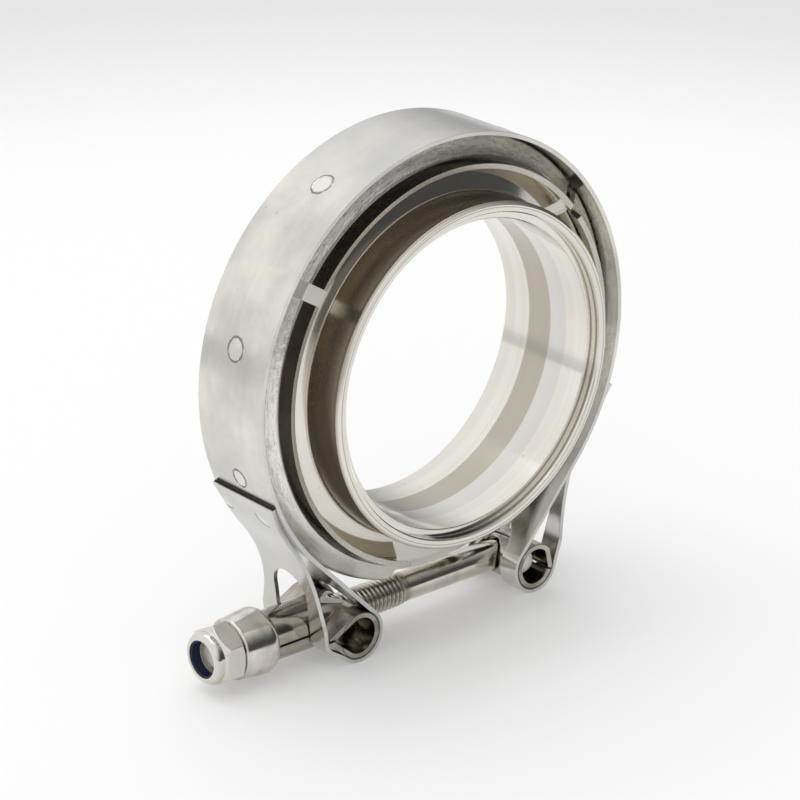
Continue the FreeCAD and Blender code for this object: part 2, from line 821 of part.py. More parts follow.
def checked(part):
    """The part, if it and its shape are whole."""
    shape = part.Shape
    if shape.isNull() or not shape.isValid() or len(shape.Solids) != 1:
        raise ValueError(f"{part.Label} is not one whole solid")
    return part


def main():
    """Build every piece, check it and write it to its own file."""
    parts = [front_flange(), rear_flange()]
    parts += v_segments()
    parts += [band(), nut_trunnion(), bolt_trunnion(), t_bolt()]
    parts += [collar(), lock_nut(), nylon_insert()]
    document.recompute()
    for item in document.Objects:
        if "Invalid" in item.State or "Error" in item.State:
            raise ValueError(f"{item.Label} failed: {item.State}")
    os.makedirs("parts", exist_ok=True)
    for part in parts:
        checked(part).Shape.exportStep(f"parts/{part.Label}.step")
        print(part.Label, round(part.Shape.Volume, 1))


main()
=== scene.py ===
"""Looks of the v band clamp: finishes of its pieces, the bolt's thread, weld marks, studio and camera.

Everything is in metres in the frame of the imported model: the pipe axis is Y with the front
towards -Y, the bolt lies along X with its nut towards -X, and Z is up.
"""
from __future__ import annotations

import json
import logging
import math
from collections.abc import Sequence
from dataclasses import dataclass, replace
from enum import Enum

import bmesh
import bpy
from mathutils import Matrix, Vector

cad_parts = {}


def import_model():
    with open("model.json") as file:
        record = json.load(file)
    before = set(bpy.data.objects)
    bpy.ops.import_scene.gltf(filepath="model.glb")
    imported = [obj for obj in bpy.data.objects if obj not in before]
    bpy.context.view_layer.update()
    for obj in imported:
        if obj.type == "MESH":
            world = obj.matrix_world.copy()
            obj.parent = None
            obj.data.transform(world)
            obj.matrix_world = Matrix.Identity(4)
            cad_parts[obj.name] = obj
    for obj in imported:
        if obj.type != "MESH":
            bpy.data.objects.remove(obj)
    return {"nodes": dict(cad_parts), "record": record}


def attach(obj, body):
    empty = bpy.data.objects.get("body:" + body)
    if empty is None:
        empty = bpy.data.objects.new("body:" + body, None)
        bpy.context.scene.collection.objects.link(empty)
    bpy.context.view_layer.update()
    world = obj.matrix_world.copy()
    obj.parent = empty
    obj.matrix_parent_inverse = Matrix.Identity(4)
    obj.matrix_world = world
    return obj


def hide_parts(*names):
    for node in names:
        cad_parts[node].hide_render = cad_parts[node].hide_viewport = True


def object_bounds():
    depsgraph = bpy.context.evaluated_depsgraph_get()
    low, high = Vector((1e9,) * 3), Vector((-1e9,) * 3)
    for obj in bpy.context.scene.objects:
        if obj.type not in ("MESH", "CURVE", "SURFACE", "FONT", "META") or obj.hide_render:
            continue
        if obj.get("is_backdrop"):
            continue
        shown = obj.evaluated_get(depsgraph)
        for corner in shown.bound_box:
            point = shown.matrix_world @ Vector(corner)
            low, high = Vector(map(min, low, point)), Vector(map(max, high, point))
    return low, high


LOG = logging.getLogger("v_band_clamp")
CLAMP = "clamp"
Colour = tuple[float, float, float]
Span = tuple[float, float]
Socket = bpy.types.NodeSocket
SocketValue = float | Colour | Socket
ZERO = (0.0, 0.0, 0.0)
SAME_PLACE = 1e-7
NOISE_MEAN = 0.5

# Places on the clamp that several finishes and pieces share

BAND_RADIUS = 0.0545
LAYER_GAP = 0.00005
BARRELS = ((-0.0266, 0.0, -0.0594), (0.0282, 0.0, -0.0594))
BAR_MIDDLE = (0.026967, 0.0, -0.05885)
BOLT_TILT = math.radians(1.1)
BOLT_RADIUS = 0.0040
PIPE_PATTERN_RADIUS = 0.05
BOLT_PATTERN_RADIUS = 0.005
PIPE_AXIS = (0.0, 1.0, 0.0)
ACROSS_PIPE = (1.0, 0.0, 1.0)

# Tints of the steels

WORN_EDGE: Colour = (0.88, 0.86, 0.81)
STEEL: Colour = (0.74, 0.715, 0.655)
CREAM_STEEL: Colour = (0.80, 0.775, 0.70)
GREY_STEEL: Colour = (0.54, 0.535, 0.51)
DARK_STEEL: Colour = (0.42, 0.39, 0.34)
FLANGE_STEEL: Colour = (0.80, 0.775, 0.71)
# Painted shade: a darker copy of the steel for the trunnion, for the darker surroundings it reflects.
TRUNNION_SHADED_STEEL: Colour = (0.56, 0.53, 0.47)
TRUNNION_DARK: Colour = (0.19, 0.165, 0.13)
BOLT_STEEL: Colour = (0.75, 0.715, 0.64)
THREAD_ROOT: Colour = (0.20, 0.17, 0.12)
COLLAR_STEEL: Colour = (0.81, 0.785, 0.73)
COLLAR_DARK: Colour = (0.42, 0.385, 0.33)
NUT_STEEL: Colour = (0.71, 0.685, 0.63)
BURNT: Colour = (0.10, 0.085, 0.06)
# Near-black of dark joint lines, and painted shade on the fold-backs' end faces.
JOINT_AND_SHADE_BLACK: Colour = (0.015, 0.013, 0.011)


def opaque(colour: Colour) -> tuple[float, float, float, float]:
    """The colour with an alpha of one."""
    return (*colour, 1.0)


# Spot welds


@dataclass(frozen=True)
class Weld:
    """One spot weld's ring: degrees round the pipe from +X, place along it, and size.

    A ring that was pressed in on one side only keeps its line towards one way. Its
    keep is the cosine of the angle at which that line ends, and -2 keeps it whole.
    """

    angle: float
    along: float
    radius: float = 0.0025
    toward: Sequence[float] = ZERO
    keep: float = -2.0

    def whole(self) -> bool:
        """Whether the ring is pressed in all the way round."""
        return self.keep < -1.0

    def arc(self) -> float:
        """Distance round the pipe from its top, on the patterns' radius."""
        return math.remainder(math.radians(90.0 - self.angle), 2 * math.pi) * PIPE_PATTERN_RADIUS


WELDS = (
    Weld(120.5, 0.0),
    Weld(164.3, 0.0),
    Weld(197.2, 0.0, radius=0.0021),
    Weld(59.5, 0.0),
    Weld(15.7, 0.0),
    Weld(-14.9, 0.0),
    Weld(206.3, 0.0080, toward=(-0.8, 0.6, 0.0), keep=0.35),
    Weld(206.4, -0.0050, toward=(-0.8, 0.6, 0.0), keep=0.35),
    Weld(-25.5, 0.0050, toward=(0.8, 0.6, 0.0), keep=0.35),
    Weld(-25.5, -0.0060, toward=(0.8, -0.6, 0.0), keep=0.35),
)


# Node trees


class Graph:
    """A node tree that nodes are added to by type, with their inputs set or linked."""

    def __init__(self, tree: bpy.types.NodeTree) -> None:
        """Start from an existing tree.

        Args:
            tree: Tree that every node goes into.
        """
        self.tree = tree

    def fill(self, socket: Socket, given: SocketValue) -> None:
        """Link a socket to another, or set its value.

        Args:
            socket: Input socket.
            given: Socket or value for it.
        """
        if isinstance(given, bpy.types.NodeSocket):
            self.tree.links.new(given, socket)
        else:
            socket.default_value = given

    def add(self, kind: str, inputs: dict[int | str, SocketValue] | None = None,
            **settings: object) -> bpy.types.Node:
        """Add a node.

        Args:
            kind: Node type without its "ShaderNode" or "Node" beginning.
            inputs: Values or sockets for its inputs, by name or number.
            settings: Properties of the node.

        Returns:
            The new node.
        """
        prefix = "" if kind.startswith("Node") else "ShaderNode"
        node = self.tree.nodes.new(prefix + kind)
        for name, setting in settings.items():
            setattr(node, name, setting)
        for key, given in (inputs or {}).items():
            self.fill(node.inputs[key], given)
        return node

    def group(self, tree: bpy.types.NodeTree,
              inputs: dict[str, SocketValue]) -> bpy.types.NodeOutputs:
        """Place a shared group.

        Args:
            tree: The group.
            inputs: Values or sockets for its inputs.

        Returns:
            Its outputs.
        """
        return self.add("Group", inputs, node_tree=tree).outputs

    def give(self, result: bpy.types.Node, outputs: dict[str, Socket]) -> bpy.types.NodeTree:
        """Link a group's outputs.

        Args:
            result: The group's output node.
            outputs: Socket of each output.

        Returns:
            The group.
        """
        for name, socket in outputs.items():
            self.tree.links.new(socket, result.inputs[name])
        return self.tree

    def math(self, operation: str, first: SocketValue, second: SocketValue = 0.0,
             clamp: bool = False) -> Socket:
        """Work out one number.

        Args:
            operation: Name of the Math node's operation.
            first: First value or socket.
            second: Second value or socket.
            clamp: Whether the result is kept between 0 and 1.

        Returns:
            The result's socket.
        """
        node = self.add("Math", {0: first, 1: second}, operation=operation, use_clamp=clamp)
        return node.outputs[0]

    def product(self, first: SocketValue, *factors: SocketValue) -> Socket:
        """Multiply several numbers.

        Args:
            first: First value or socket.
            factors: The others.

        Returns:
            The product's socket.
        """
        result = first
        for factor in factors:
            result = self.math("MULTIPLY", result, factor)
        return result

    def total(self, *terms: SocketValue, clamp: bool = False) -> Socket:
        """Add several numbers up.

        Args:
            terms: Values or sockets, two or more.
            clamp: Whether the total is kept between 0 and 1.

        Returns:
            The total's socket.
        """
        result = terms[0]
        for term in terms[1:-1]:
            result = self.math("ADD", result, term)
        return self.math("ADD", result, terms[-1], clamp=clamp)

    def most(self, masks: Sequence[Socket]) -> Socket:
        """Join masks by the strongest at each place.

        Args:
            masks: The masks.

        Returns:
            The joined mask's socket.
        """
        result = masks[0]
        for mask in masks[1:]:
            result = self.math("MAXIMUM", result, mask)
        return result

    def flip(self, mask: Socket) -> Socket:
        """One minus a mask."""
        return self.math("SUBTRACT", 1.0, mask)

    def vector(self, operation: str, first: SocketValue,
               second: SocketValue = ZERO) -> Socket:
        """Work out one vector.

        Args:
            operation: Name of the Vector Math node's operation.
            first: First vector or socket.
            second: Second vector or socket.

        Returns:
            The result's socket, a number for a dot product or a length.
        """
        node = self.add("VectorMath", {0: first, 1: second}, operation=operation)
        single = operation in ("DOT_PRODUCT", "LENGTH")
        return node.outputs["Value" if single else "Vector"]

    def remap(self, value: Socket, source: Span, result: Span = (0.0, 1.0)) -> Socket:
        """Smoothly turn one range of a value into another.

        Args:
            value: Socket to read.
            source: Values at which the result starts and ends, in either order.
            result: Results there and beyond.

        Returns:
            The result's socket.
        """
        inputs = {"Value": value, "From Min": source[0], "From Max": source[1],
                  "To Min": result[0], "To Max": result[1]}
        return self.add("MapRange", inputs, interpolation_type="SMOOTHSTEP").outputs["Result"]

    def near(self, value: Socket, middle: float | Socket, fade: Span) -> Socket:
        """Mask of the places where a value is close to another.

        Args:
            value: Socket to read.
            middle: Value that it is compared with.
            fade: Differences at which the mask is still 1 and already 0.

        Returns:
            The mask's socket.
        """
        off = self.math("ABSOLUTE", self.math("SUBTRACT", value, middle))
        return self.remap(off, (fade[1], fade[0]))

    def noise(self, place: Socket, scale: float | Socket, detail: float = 3.0,
              roughness: float = 0.5) -> Socket:
        """Noise between 0 and 1.

        Args:
            place: Coordinates.
            scale: Features in a metre.
            detail: Number of finer layers.
            roughness: Strength of the finer layers.

        Returns:
            The factor's socket.
        """
        inputs = {"Vector": place, "Scale": scale, "Detail": detail, "Roughness": roughness}
        return self.add("TexNoise", inputs).outputs["Fac"]

    def mix(self, factor: SocketValue, first: SocketValue, second: SocketValue) -> Socket:
        """Mix two colours.

        Args:
            factor: Share of the second colour.
            first: First colour or socket.
            second: Second colour or socket.

        Returns:
            The mixed colour's socket.
        """
        node = self.add("Mix", {0: factor}, data_type="RGBA")
        for socket, given in ((node.inputs[6], first), (node.inputs[7], second)):
            linked = isinstance(given, bpy.types.NodeSocket)
            self.fill(socket, given if linked else opaque(given))
        return node.outputs[2]

    def tinted(self, colour: Socket, mask: Socket, share: float, tint: Colour) -> Socket:
        """Lay a tint over a colour where a mask says so.

        Args:
            colour: Colour so far.
            mask: Where the tint goes.
            share: The tint's strength at the mask's full value.
            tint: Its colour.

        Returns:
            The new colour's socket.
        """
        return self.mix(self.product(mask, share), colour, tint)

    def place(self) -> Socket:
        """Place on the object, in metres."""
        return self.add("TexCoord").outputs["Object"]

    def split(self, place: Socket) -> bpy.types.NodeOutputs:
        """The three numbers of a place, as outputs X, Y and Z."""
        return self.add("SeparateXYZ", {0: place}).outputs

    def normal(self) -> Socket:
        """Direction that the surface faces."""
        return self.add("NewGeometry").outputs["Normal"]

    def outward(self) -> Socket:
        """Direction away from the pipe axis."""
        return self.vector("NORMALIZE", self.vector("MULTIPLY", self.place(), ACROSS_PIPE))

    def facing(self, direction: SocketValue) -> Socket:
        """How squarely the surface faces a direction or its opposite, from 0 to 1."""
        return self.math("ABSOLUTE", self.vector("DOT_PRODUCT", self.normal(), direction))


def new_group(name: str, inputs: dict[str, tuple[str, object]],
              outputs: dict[str, str]) -> tuple[Graph, bpy.types.NodeOutputs, bpy.types.Node]:
    """Start a shader node group.

    Args:
        name: The group's name.
        inputs: Kind and default of each input, by name.
        outputs: Kind of each output, by name.

    Returns:
        Its graph, the sockets that it is given, and its output node.
    """
    tree = bpy.data.node_groups.new(name, "ShaderNodeTree")
    for label, (kind, default) in inputs.items():
        socket = tree.interface.new_socket(label, in_out="INPUT", socket_type=f"NodeSocket{kind}")
        if default is not None:
            socket.default_value = default
    for label, kind in outputs.items():
        tree.interface.new_socket(label, in_out="OUTPUT", socket_type=f"NodeSocket{kind}")
    graph = Graph(tree)
    return graph, graph.add("NodeGroupInput").outputs, graph.add("NodeGroupOutput")


@dataclass(frozen=True)
class Hairlines:
    """One direction of scratches: its turn in radians and how far its lines are drawn out."""

    turn: float
    stretch: float


class Effects:
    """Shader node groups that several finishes share."""

    grain_middle: float = 0.31
    grain_broad: float = 0.07
    grain_fine_share: float = 0.5
    hairlines: Sequence[Hairlines] = (Hairlines(0.5, 0.05), Hairlines(-0.35, 0.035))
    hairline_tilt: Sequence[float] = (0.3, 0.4, 1.0)
    hairline_width: float = 0.012
    hairline_patch_scale: float = 0.12
    hairline_patch: Span = (0.52, 0.66)
    cloud: Span = (0.3, 0.7)
    spot_size: Span = (0.2, 0.04)
    spot_chance: Span = (0.82, 0.9)
    sharp_edge: Span = (0.995, 0.86)
    bevel_samples: int = 4
    wobble_scale: float = 900.0
    wobble: Span = (0.35, 0.65)
    ring_width: Span = (0.5, 1.6)
    ring_fade: Span = (1.2, 0.5)
    disc_fade: Span = (1.0, 0.7)
    ring_end: Span = (-0.1, 0.25)
    ring_middle: float = 1e-5
    gap_fade: Span = (1.1, 0.6)
    end_face: Span = (0.7, 0.85)

    def __init__(self) -> None:
        """Build each group once."""
        self.round_places = self.build_round_places()
        self.grain = self.build_grain()
        self.scratches = self.build_scratches()
        self.clouds = self.build_clouds()
        self.edges = self.build_edges()
        self.weld_ring = self.build_weld_ring()
        self.barrel_line = self.build_barrel_line()

    @staticmethod
    def build_round_places() -> bpy.types.NodeTree:
        """Coordinates round the Y axis: arc length, distance along, radius.

        Returns:
            The group.
        """
        graph, given, result = new_group(
            "round_places", {"Vector": ("Vector", None), "Radius": ("Float", 0.05)},
            {"Vector": "Vector", "Distance": "Float", "Along": "Float"},
        )
        parts = graph.split(given["Vector"])
        arc = graph.product(graph.math("ARCTAN2", parts["X"], parts["Z"]), given["Radius"])
        distance = graph.math("SQRT", graph.total(
            graph.product(parts["X"], parts["X"]), graph.product(parts["Z"], parts["Z"])))
        place = graph.add("CombineXYZ", {"X": arc, "Y": parts["Y"], "Z": distance}).outputs[0]
        return graph.give(result, {"Vector": place, "Distance": distance, "Along": parts["Y"]})

    def build_grain(self) -> bpy.types.NodeTree:
        """Fine lines drawn along the first coordinate, in three widths.

        Returns:
            The group.
        """
        graph, given, result = new_group(
            "grain",
            {"Vector": ("Vector", None), "Scale": ("Float", 6000.0), "Stretch": ("Float", 0.03)},
            {"Height": "Float", "Streak": "Float"},
        )
        stretch = graph.add("CombineXYZ", {"X": given["Stretch"], "Y": 1.0, "Z": 1.0})
        drawn = graph.vector("MULTIPLY", given["Vector"], stretch.outputs[0])
        middle_scale = graph.product(given["Scale"], self.grain_middle)
        broad_scale = graph.product(given["Scale"], self.grain_broad)
        fine = graph.noise(drawn, given["Scale"], detail=2.0, roughness=0.6)
        middle = graph.noise(drawn, middle_scale, detail=3.0, roughness=0.6)
        broad = graph.noise(drawn, broad_scale, detail=3.0, roughness=0.55)
        height = graph.total(graph.product(fine, self.grain_fine_share),
                             graph.product(middle, 1.0 - self.grain_fine_share))
        return graph.give(result, {"Height": height, "Streak": broad})

    def build_scratches(self) -> bpy.types.NodeTree:
        """Sparse hairlines in two directions.

        Returns:
            The group.
        """
        graph, given, result = new_group(
            "scratches",
            {"Vector": ("Vector", None), "Scale": ("Float", 900.0), "Amount": ("Float", 0.5)},
            {"Mask": "Float"},
        )
        patch_scale = graph.product(given["Scale"], self.hairline_patch_scale)
        masks = []
        for lines in self.hairlines:
            tilt = tuple(lines.turn * share for share in self.hairline_tilt)
            turned = graph.add("Mapping", {"Vector": given["Vector"], "Rotation": tilt}).outputs[0]
            drawn = graph.vector("MULTIPLY", turned, (lines.stretch, 1.0, 1.0))
            line = graph.noise(drawn, given["Scale"], detail=1.0, roughness=0.4)
            patch = graph.noise(turned, patch_scale, detail=2.0)
            thin = graph.near(line, NOISE_MEAN, (0.0, self.hairline_width))
            masks.append(graph.product(thin, graph.remap(patch, self.hairline_patch)))
        shown = graph.math("MULTIPLY", graph.most(masks), given["Amount"], clamp=True)
        return graph.give(result, {"Mask": shown})

    def build_clouds(self) -> bpy.types.NodeTree:
        """Broad cloudy tone and small spots, as on handled steel.

        Returns:
            The group.
        """
        graph, given, result = new_group(
            "clouds",
            {"Vector": ("Vector", None), "Scale": ("Float", 60.0), "Spots": ("Float", 420.0)},
            {"Cloud": "Float", "Spot": "Float"},
        )
        broad = graph.noise(given["Vector"], given["Scale"], detail=4.0, roughness=0.55)
        cells = graph.add("TexVoronoi", {"Vector": given["Vector"], "Scale": given["Spots"]})
        small = graph.remap(cells.outputs["Distance"], self.spot_size)
        chance = graph.add("SeparateColor", {0: cells.outputs["Color"]}).outputs[0]
        chosen = graph.product(small, graph.remap(chance, self.spot_chance))
        return graph.give(result, {"Cloud": graph.remap(broad, self.cloud), "Spot": chosen})

    def build_edges(self) -> bpy.types.NodeTree:
        """A rounded normal and a mask along sharp edges.

        Returns:
            The group.
        """
        graph, given, result = new_group(
            "edges", {"Radius": ("Float", 0.0002)}, {"Normal": "Vector", "Edge": "Float"}
        )
        bevel = graph.add("Bevel", {"Radius": given["Radius"]}, samples=self.bevel_samples)
        likeness = graph.vector("DOT_PRODUCT", bevel.outputs[0], graph.normal())
        edge = graph.remap(likeness, self.sharp_edge)
        return graph.give(result, {"Normal": bevel.outputs[0], "Edge": edge})

    def build_weld_ring(self) -> bpy.types.NodeTree:
        """Thin uneven ring and the disc inside it, round a place on the band.

        Returns:
            The group.
        """
        graph, given, result = new_group(
            "weld_ring",
            {"Vector": ("Vector", None), "Arc": ("Float", 0.0), "Along": ("Float", 0.0),
             "Radius": ("Float", 0.0025), "Line": ("Float", 0.0002),
             "Toward": ("Vector", None), "Keep": ("Float", -2.0)},
            {"Line": "Float", "Inside": "Float"},
        )
        parts = graph.split(given["Vector"])
        across = graph.math("SUBTRACT", parts["X"], given["Arc"])
        along = graph.math("SUBTRACT", parts["Y"], given["Along"])
        place = graph.add("CombineXYZ", {"X": across, "Y": along}).outputs[0]
        reach = graph.vector("LENGTH", place)
        wobble = graph.noise(given["Vector"], self.wobble_scale, detail=2.0)
        line_width = graph.product(given["Line"],
                                   graph.remap(wobble, self.wobble, self.ring_width))
        off = graph.math("ABSOLUTE", graph.math("SUBTRACT", reach, given["Radius"]))
        ring = graph.remap(graph.math("DIVIDE", off, line_width), self.ring_fade)
        disc = graph.remap(graph.math("DIVIDE", reach, given["Radius"]), self.disc_fade)
        facing = graph.math("DIVIDE", graph.vector("DOT_PRODUCT", place, given["Toward"]),
                            graph.math("MAXIMUM", reach, self.ring_middle))
        kept = graph.remap(graph.math("SUBTRACT", facing, given["Keep"]), self.ring_end)
        return graph.give(result, {"Line": graph.product(ring, kept),
                                   "Inside": graph.product(disc, kept)})

    def build_barrel_line(self) -> bpy.types.NodeTree:
        """Thin ring on end faces, round an axis along Y.

        Returns:
            The group.
        """
        graph, given, result = new_group(
            "barrel_line",
            {"Vector": ("Vector", None), "Centre": ("Vector", None),
             "Radius": ("Float", 0.0055), "Reach": ("Float", 0.00014)},
            {"Mask": "Float"},
        )
        place = graph.vector("SUBTRACT", given["Vector"], given["Centre"])
        away = graph.vector("LENGTH", graph.vector("MULTIPLY", place, ACROSS_PIPE))
        off = graph.math("ABSOLUTE", graph.math("SUBTRACT", away, given["Radius"]))
        line = graph.remap(graph.math("DIVIDE", off, given["Reach"]), self.gap_fade)
        squarely = graph.remap(graph.facing(PIPE_AXIS), self.end_face)
        return graph.give(result, {"Mask": graph.product(line, squarely)})

    def barrel_lines(self, graph: Graph, radius: float) -> Socket:
        """Mask of the thin gap round both trunnions.

        Args:
            graph: The material's graph.
            radius: Radius of the line's middle.

        Returns:
            The mask's socket.
        """
        place = graph.place()
        return graph.most([
            graph.group(self.barrel_line,
                        {"Vector": place, "Centre": centre, "Radius": radius})["Mask"]
            for centre in BARRELS
        ])


# Finishes


@dataclass(frozen=True)
class Shine:
    """What a finish hands to its shader."""

    colour: Socket
    roughness: Socket
    height: Socket
    normal: Socket


def new_material(name: str) -> tuple[bpy.types.Material, Graph]:
    """Start a material with no nodes in it.

    Args:
        name: The material's name.

    Returns:
        The material and its graph.
    """
    material = bpy.data.materials.new(name)
    material.use_nodes = True
    material.node_tree.nodes.clear()
    return material, Graph(material.node_tree)


def close_material(graph: Graph, shine: Shine, settings: dict[str, float]) -> None:
    """End a material in its shader, with its height as bump.

    Args:
        graph: The material's graph.
        shine: The shader's colour, roughness, height and normal.
        settings: Values on the shader's own sockets.
    """
    bump = graph.add("Bump", {"Strength": 1.0, "Distance": 1.0, "Height": shine.height,
                              "Normal": shine.normal})
    shader = graph.add(
        "BsdfPrincipled",
        {"Base Color": shine.colour, "Roughness": shine.roughness, "Normal": bump.outputs[0],
         **settings})
    graph.add("OutputMaterial", {"Surface": shader.outputs[0]})


class Layout(Enum):
    """How a pattern lies on a piece."""

    PIPE = "round the pipe axis"
    BOLT = "round the bolt axis"
    SHEET = "along the sheet"


@dataclass(frozen=True)
class SteelFinish:
    """Bare stainless steel as one slot shows it."""

    slot: str
    layout: Layout
    tint: Colour
    dark_tint: Colour
    roughness: float
    roughness_spread: float
    grain_scale: float
    grain_stretch: float
    grain_depth: float
    streak_depth: float
    scratch_scale: float
    scratch_amount: float
    cloud_scale: float
    cloud_tone: float
    spot_scale: float
    spot_tone: float
    edge_radius: float
    edge_light: float
    streaks: Span = (0.35, 0.65)
    scratch_tint: float = 0.3
    scratch_roughness: float = 0.12
    scratch_depth: float = 2.5e-6
    cloud_roughness: float = 0.4

    def places(self, graph: Graph, effects: Effects) -> bpy.types.NodeOutputs:
        """Coordinates that the finish's patterns follow.

        Args:
            graph: The material's graph.
            effects: Shared groups.

        Returns:
            Outputs Vector, Distance and Along.
        """
        place = graph.place()
        radius = PIPE_PATTERN_RADIUS
        if self.layout is Layout.BOLT:
            from_bar = graph.vector("SUBTRACT", place, BAR_MIDDLE)
            along_y = (0.0, -BOLT_TILT, math.pi / 2)
            place = graph.add("Mapping", {"Vector": from_bar, "Rotation": along_y}).outputs[0]
            radius = BOLT_PATTERN_RADIUS
        return graph.group(effects.round_places, {"Vector": place, "Radius": radius})

    def base(self, graph: Graph, effects: Effects, round_place: bpy.types.NodeOutputs) -> Shine:
        """Colour, roughness, height and normal before a piece's own marks.

        Args:
            graph: The material's graph.
            effects: Shared groups.
            round_place: Coordinates that the patterns follow.

        Returns:
            The sockets.
        """
        plain = graph.place()
        grain_place = plain if self.layout is Layout.SHEET else round_place["Vector"]
        grain = graph.group(effects.grain, {
            "Vector": grain_place, "Scale": self.grain_scale, "Stretch": self.grain_stretch})
        scratches = graph.group(effects.scratches, {
            "Vector": plain, "Scale": self.scratch_scale, "Amount": self.scratch_amount})["Mask"]
        clouds = graph.group(effects.clouds, {
            "Vector": plain, "Scale": self.cloud_scale, "Spots": self.spot_scale})
        edges = graph.group(effects.edges, {"Radius": self.edge_radius})
        tone = graph.total(
            graph.product(clouds["Cloud"], self.cloud_tone),
            graph.product(graph.remap(grain["Streak"], self.streaks), self.streak_depth),
            graph.product(clouds["Spot"], self.spot_tone), clamp=True)
        colour = graph.mix(tone, self.tint, self.dark_tint)
        colour = graph.tinted(colour, scratches, self.scratch_tint, self.dark_tint)
        colour = graph.tinted(colour, edges["Edge"], self.edge_light, WORN_EDGE)
        rough = graph.total(
            graph.product(graph.math("SUBTRACT", grain["Streak"], NOISE_MEAN),
                          self.roughness_spread),
            self.roughness,
            graph.product(scratches, self.scratch_roughness),
            graph.product(clouds["Cloud"], self.roughness_spread * self.cloud_roughness),
            clamp=True)
        height = graph.math("SUBTRACT", graph.product(grain["Height"], self.grain_depth),
                            graph.product(scratches, self.scratch_depth))
        return Shine(colour, rough, height, edges["Normal"])

    def own_marks(self, graph: Graph, effects: Effects, round_place: bpy.types.NodeOutputs,
                  shine: Shine) -> Shine:
        """Marks that only this slot's pieces have; none here."""
        return shine

    def build(self, effects: Effects) -> bpy.types.Material:
        """Build the slot's material.

        Args:
            effects: Shared groups.

        Returns:
            The material.
        """
        material, graph = new_material(self.slot)
        round_place = self.places(graph, effects)
        shine = self.base(graph, effects, round_place)
        shine = self.own_marks(graph, effects, round_place, shine)
        close_material(graph, shine, {"Metallic": 1.0})
        return material


